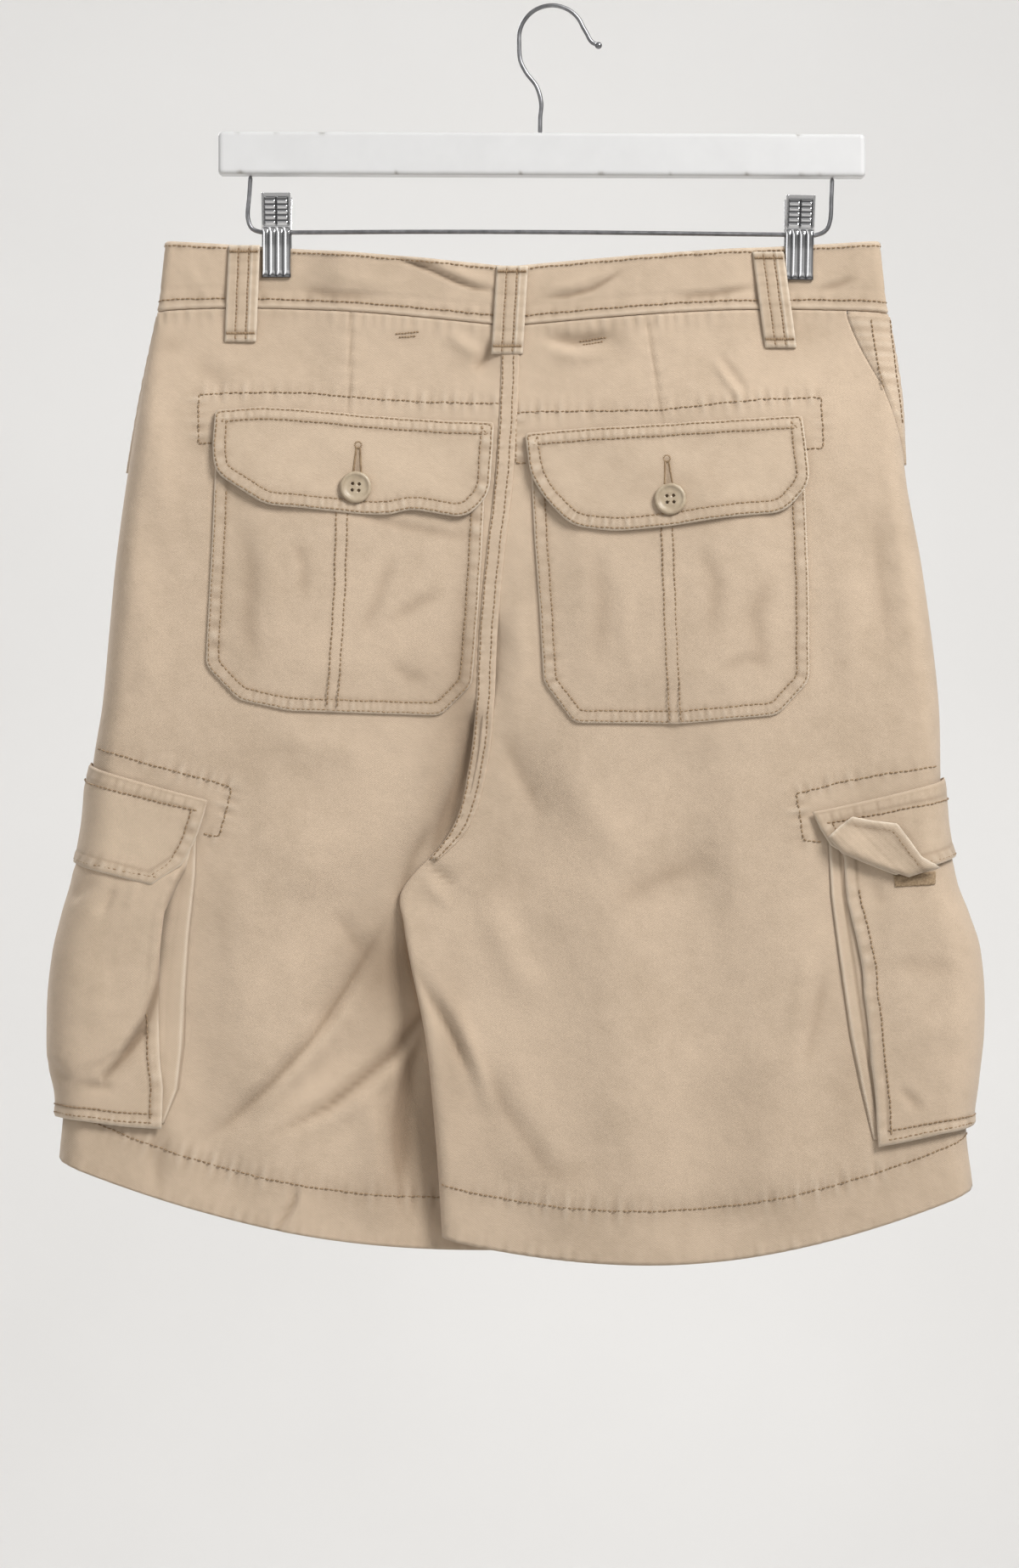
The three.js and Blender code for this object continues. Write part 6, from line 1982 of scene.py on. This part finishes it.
def build_seam_strip(stitches):
    """The felled seam that closes the seat, with its two lines of stitches."""
    v = np.linspace(*SEAM_STRIP_V, 150)
    left, right, normals = seam_edges(SEAT, v)
    wide = sum(SEAM_REACH.values())
    share = np.linspace(0, 1, 13)
    spread = left[:, None, :] + (right - left)[:, None, :] * share[None, :, None]
    edge = np.minimum(share, 1 - share) * wide
    along = np.linspace(0, 390, len(v))
    waves = ripple(along, 44, 7.0)[:, None] * np.exp(-(((edge - 2.4) / 2.0) ** 2))[None, :]
    tall = 0.35 + 0.55 * smoothstep(0, 0.8, edge)
    height = tall[None, :] + 0.16 * waves
    upper = spread + normals[:, None, :] * height[..., None]
    lower = spread - normals[:, None, :] * 0.3
    # Painted shade in the pucker troughs, passed as the strip's shade.
    piece = wall_from_grid(
        "cloth_seam", upper, lower, spread[..., [0, 2]], 0.5 * np.clip(waves, 0, 1), 0.35 * np.clip(
            -waves, 0, 1
        )
    )
    finish_piece(piece, TWILL, [])
    for inset_mm in SEAM_STITCH_IN:
        add_even(stitches, left + (right - left) * (inset_mm / wide) + normals * 0.95, normals)


def panel_stitches(stitches):
    for half, lines in PANEL_STITCHES.items():
        for line in lines:
            stitch_line(stitches, half, SEAT, line, 0.3)
        for side in (SEAT, FLY):
            add_even(stitches, *hem_curve(half, side))
        line = centre_line(half, FLY, 3.0)
        stitch_line(stitches, half, FLY, line[4:-6], 0.35)
    for half, start, end in TACKS:
        stitch_line(stitches, half, SEAT, [start, end], 0.3, 1.7)
    for half in ("left", "right"):
        for h, side_turns in ((0.155, (-0.985, 0.985)), (0.935, (-0.985, 0.985))):
            q = np.linspace(*side_turns, 150)
            raw = moved_out(band_points, half, q, np.full_like(q, h), 0.35, BAND_CREASES[half])
            add_even(stitches, raw, normals_of(band_points, half, q, np.full_like(q, h)))


def add_even(stitches, raw, normals):
    run = np.concatenate([[0], np.cumsum(np.linalg.norm(np.diff(raw, axis=0), axis=1))])
    at = np.linspace(0, run[-1], max(int(run[-1] / STITCH_PITCH), 2))
    places = np.stack([np.interp(at, run, raw[:, k]) for k in range(3)], axis=1)
    turned = np.stack([np.interp(at, run, normals[:, k]) for k in range(3)], axis=1)
    stitches.add(places, turned)


def hem_curve(half, side):
    q = side * np.linspace(0.01, 0.985, 160)
    v = above_hem(half, q, HEM_TALL)
    return moved_out(body_points, half, q, v, 0.3, CREASES), normals_of(body_points, half, q, v)


for half_name in ("left", "right"):
    for line in PANEL_STITCHES[half_name]:
        PANEL_SEAMS[half_name, SEAT].append((line, 5.5, 0.75, 0.5))
    PANEL_SEAMS[half_name, SEAT].append((DARTS[half_name], 0.9, 0.0, 0.0))


def build_all():
    seat_stitches = Stitches("thread_seat")
    trim_stitches = Stitches("thread_trim")
    for half in ("left", "right"):
        build_band(half)
        for side in (SEAT, FLY):
            build_panel(half, side)
            build_gusset(half, side)
        build_facing(half)
        build_back_pocket(half, seat_stitches)
        build_back_flap(half, seat_stitches)
        build_bag(half, trim_stitches)
        build_cargo_flap(half, trim_stitches)
        place, facing = button_place(half)
        build_button(f"button_back_{half}", f"back_button_{half}", place, facing, 9.3, trim_stitches)
    build_leaf(trim_stitches)
    build_grip()
    build_fly(trim_stitches)
    build_seam_strip(trim_stitches)
    facing_stitches(trim_stitches)
    panel_stitches(seat_stitches)
    for label, side, *ends in BELT_LOOPS:
        build_loop(label, side, *ends, trim_stitches)
    q = np.array([1 + 6 / 207])
    h = np.array([0.55])
    place = moved_out(band_points, "left", q, h, 0.4)[0]
    facing = normals_of(band_points, "left", q, h)[0]
    build_button("button_front", "front_button", place, facing, 8.5, trim_stitches)
    build_wires()
    build_bar()
    for half, rod_z, tilt in (("left", -132.4, 0), ("right", -133.8, 0.02)):
        build_jaw(half, SEAT, rod_z, tilt)
        build_jaw(half, FLY, rod_z, tilt)
    seat_stitches.build()
    trim_stitches.build()


build_all()


# Camera, light and stage

CAMERA_DISTANCE = 2.2
VIEW_CENTRE = (-25 * MM, -457 * MM)
VIEW_TALL = 0.923
SENSOR = 36.0


def add_camera():
    data = bpy.data.cameras.new("camera")
    data.sensor_width = SENSOR
    data.lens = SENSOR * CAMERA_DISTANCE / VIEW_TALL
    camera = bpy.data.objects.new("camera", data)
    camera.location = (VIEW_CENTRE[0], -CAMERA_DISTANCE, VIEW_CENTRE[1])
    camera.rotation_euler = (math.radians(90), 0, 0)
    bpy.context.scene.collection.objects.link(camera)
    bpy.context.scene.camera = camera


def add_light(name, place, target, size, power):
    data = bpy.data.lights.new(name, "AREA")
    data.size = size
    data.energy = power
    light = bpy.data.objects.new(name, data)
    light.location = place
    light.rotation_euler = (Vector(target) - Vector(place)).to_track_quat("-Z", "Y").to_euler()
    bpy.context.scene.collection.objects.link(light)


def add_stage():
    """A pale floor that curves up into a backdrop far behind."""
    rows = []
    floor_z, far_y, bend = -2.6, 5.2, 0.8
    for y in np.linspace(-8, far_y - bend, 12):
        rows.append((y, floor_z))
    for turn in np.linspace(0, math.pi / 2, 10)[1:]:
        rows.append((far_y - bend + bend * math.sin(turn), floor_z + bend - bend * math.cos(turn)))
    rows.append((far_y, 6.0))
    across = np.linspace(-9, 9, 10)
    grid = np.array([[(x, y, z) for x in across] for y, z in rows])
    count = len(across)
    points = grid.reshape(-1, 3) / MM
    faces = [
        (j * count + i, j * count + i + 1, (j + 1) * count + i + 1, (j + 1) * count + i)
        for j in range(len(rows) - 1) for i in range(count - 1)
    ]
    stage = make_mesh("stage_floor", points, faces)
    material, tree, shader = node_material("stage_paint")
    position = tree.nodes.new("ShaderNodeTexCoord").outputs["Object"]
    tree.links.new(
        ramp(
            tree, noise(tree, position, 1.2, 2.0), [(0.3, (0.80, 0.79, 0.775)), (0.7, (0.83, 0.82, 0.805))]
        ),
        shader.inputs["Base Color"],
    )
    shader.inputs["Roughness"].default_value = 0.9
    stage.data.materials.append(material)


def add_world():
    """A pale room, darker low down, with dark bands just above and below a bright horizon and dimmer screens
    to either side, for the metal to mirror.
    """
    world = bpy.data.worlds.new("studio")
    world.use_nodes = True
    tree = world.node_tree
    background = tree.nodes["Background"]
    direction = tree.nodes.new("ShaderNodeTexCoord").outputs["Generated"]
    parts = tree.nodes.new("ShaderNodeSeparateXYZ")
    tree.links.new(direction, parts.inputs["Vector"])
    height = math_node(tree, "ADD", math_node(tree, "MULTIPLY", parts.outputs["Z"], 0.5), 0.5)
    tone = ramp(tree, height, [
        (0.1, (0.34, 0.335, 0.33)), (0.38, (0.22, 0.218, 0.215)), (0.45, (0.80, 0.79, 0.78)),
        (0.54, (0.90, 0.89, 0.88)), (0.60, (0.20, 0.198, 0.195)), (0.74, (0.34, 0.335, 0.33)),
        (0.86, (1.0, 0.99, 0.98)),
    ])
    sideways = math_node(tree, "ADD", math_node(tree, "MULTIPLY", parts.outputs["X"], 0.5), 0.5)
    screens = ramp(tree, sideways, [
        (0.0, (1.0, 1.0, 1.0)), (0.08, (0.4, 0.4, 0.4)), (0.16, (0.4, 0.4, 0.4)), (0.26, (1.0, 1.0, 1.0)),
        (0.74, (1.0, 1.0, 1.0)), (0.84, (0.4, 0.4, 0.4)), (0.92, (0.4, 0.4, 0.4)), (1.0, (1.0, 1.0, 1.0)),
    ])
    tree.links.new(mix_color(tree, 1.0, tone, screens, "MULTIPLY"), background.inputs["Color"])
    background.inputs["Strength"].default_value = 0.7
    bpy.context.scene.world = world


add_camera()
add_world()
add_stage()
add_light("key", (1.6, -1.9, 1.5), (0, 0, -0.45), 1.1, 96)
add_light("fill", (-2.2, -2.4, 0.3), (0, 0, -0.45), 2.0, 16)
add_light("back_key", (-1.9, 1.9, 1.2), (0, 0, -0.45), 1.5, 50)
add_light("backdrop_high", (0, 1.2, 1.6), (0, 5.2, 0.2), 1.8, 50)
add_light("backdrop_low", (0, 1.2, -2.3), (0, 5.2, -1.1), 1.8, 44)
bpy.context.scene.view_settings.view_transform = "Standard"
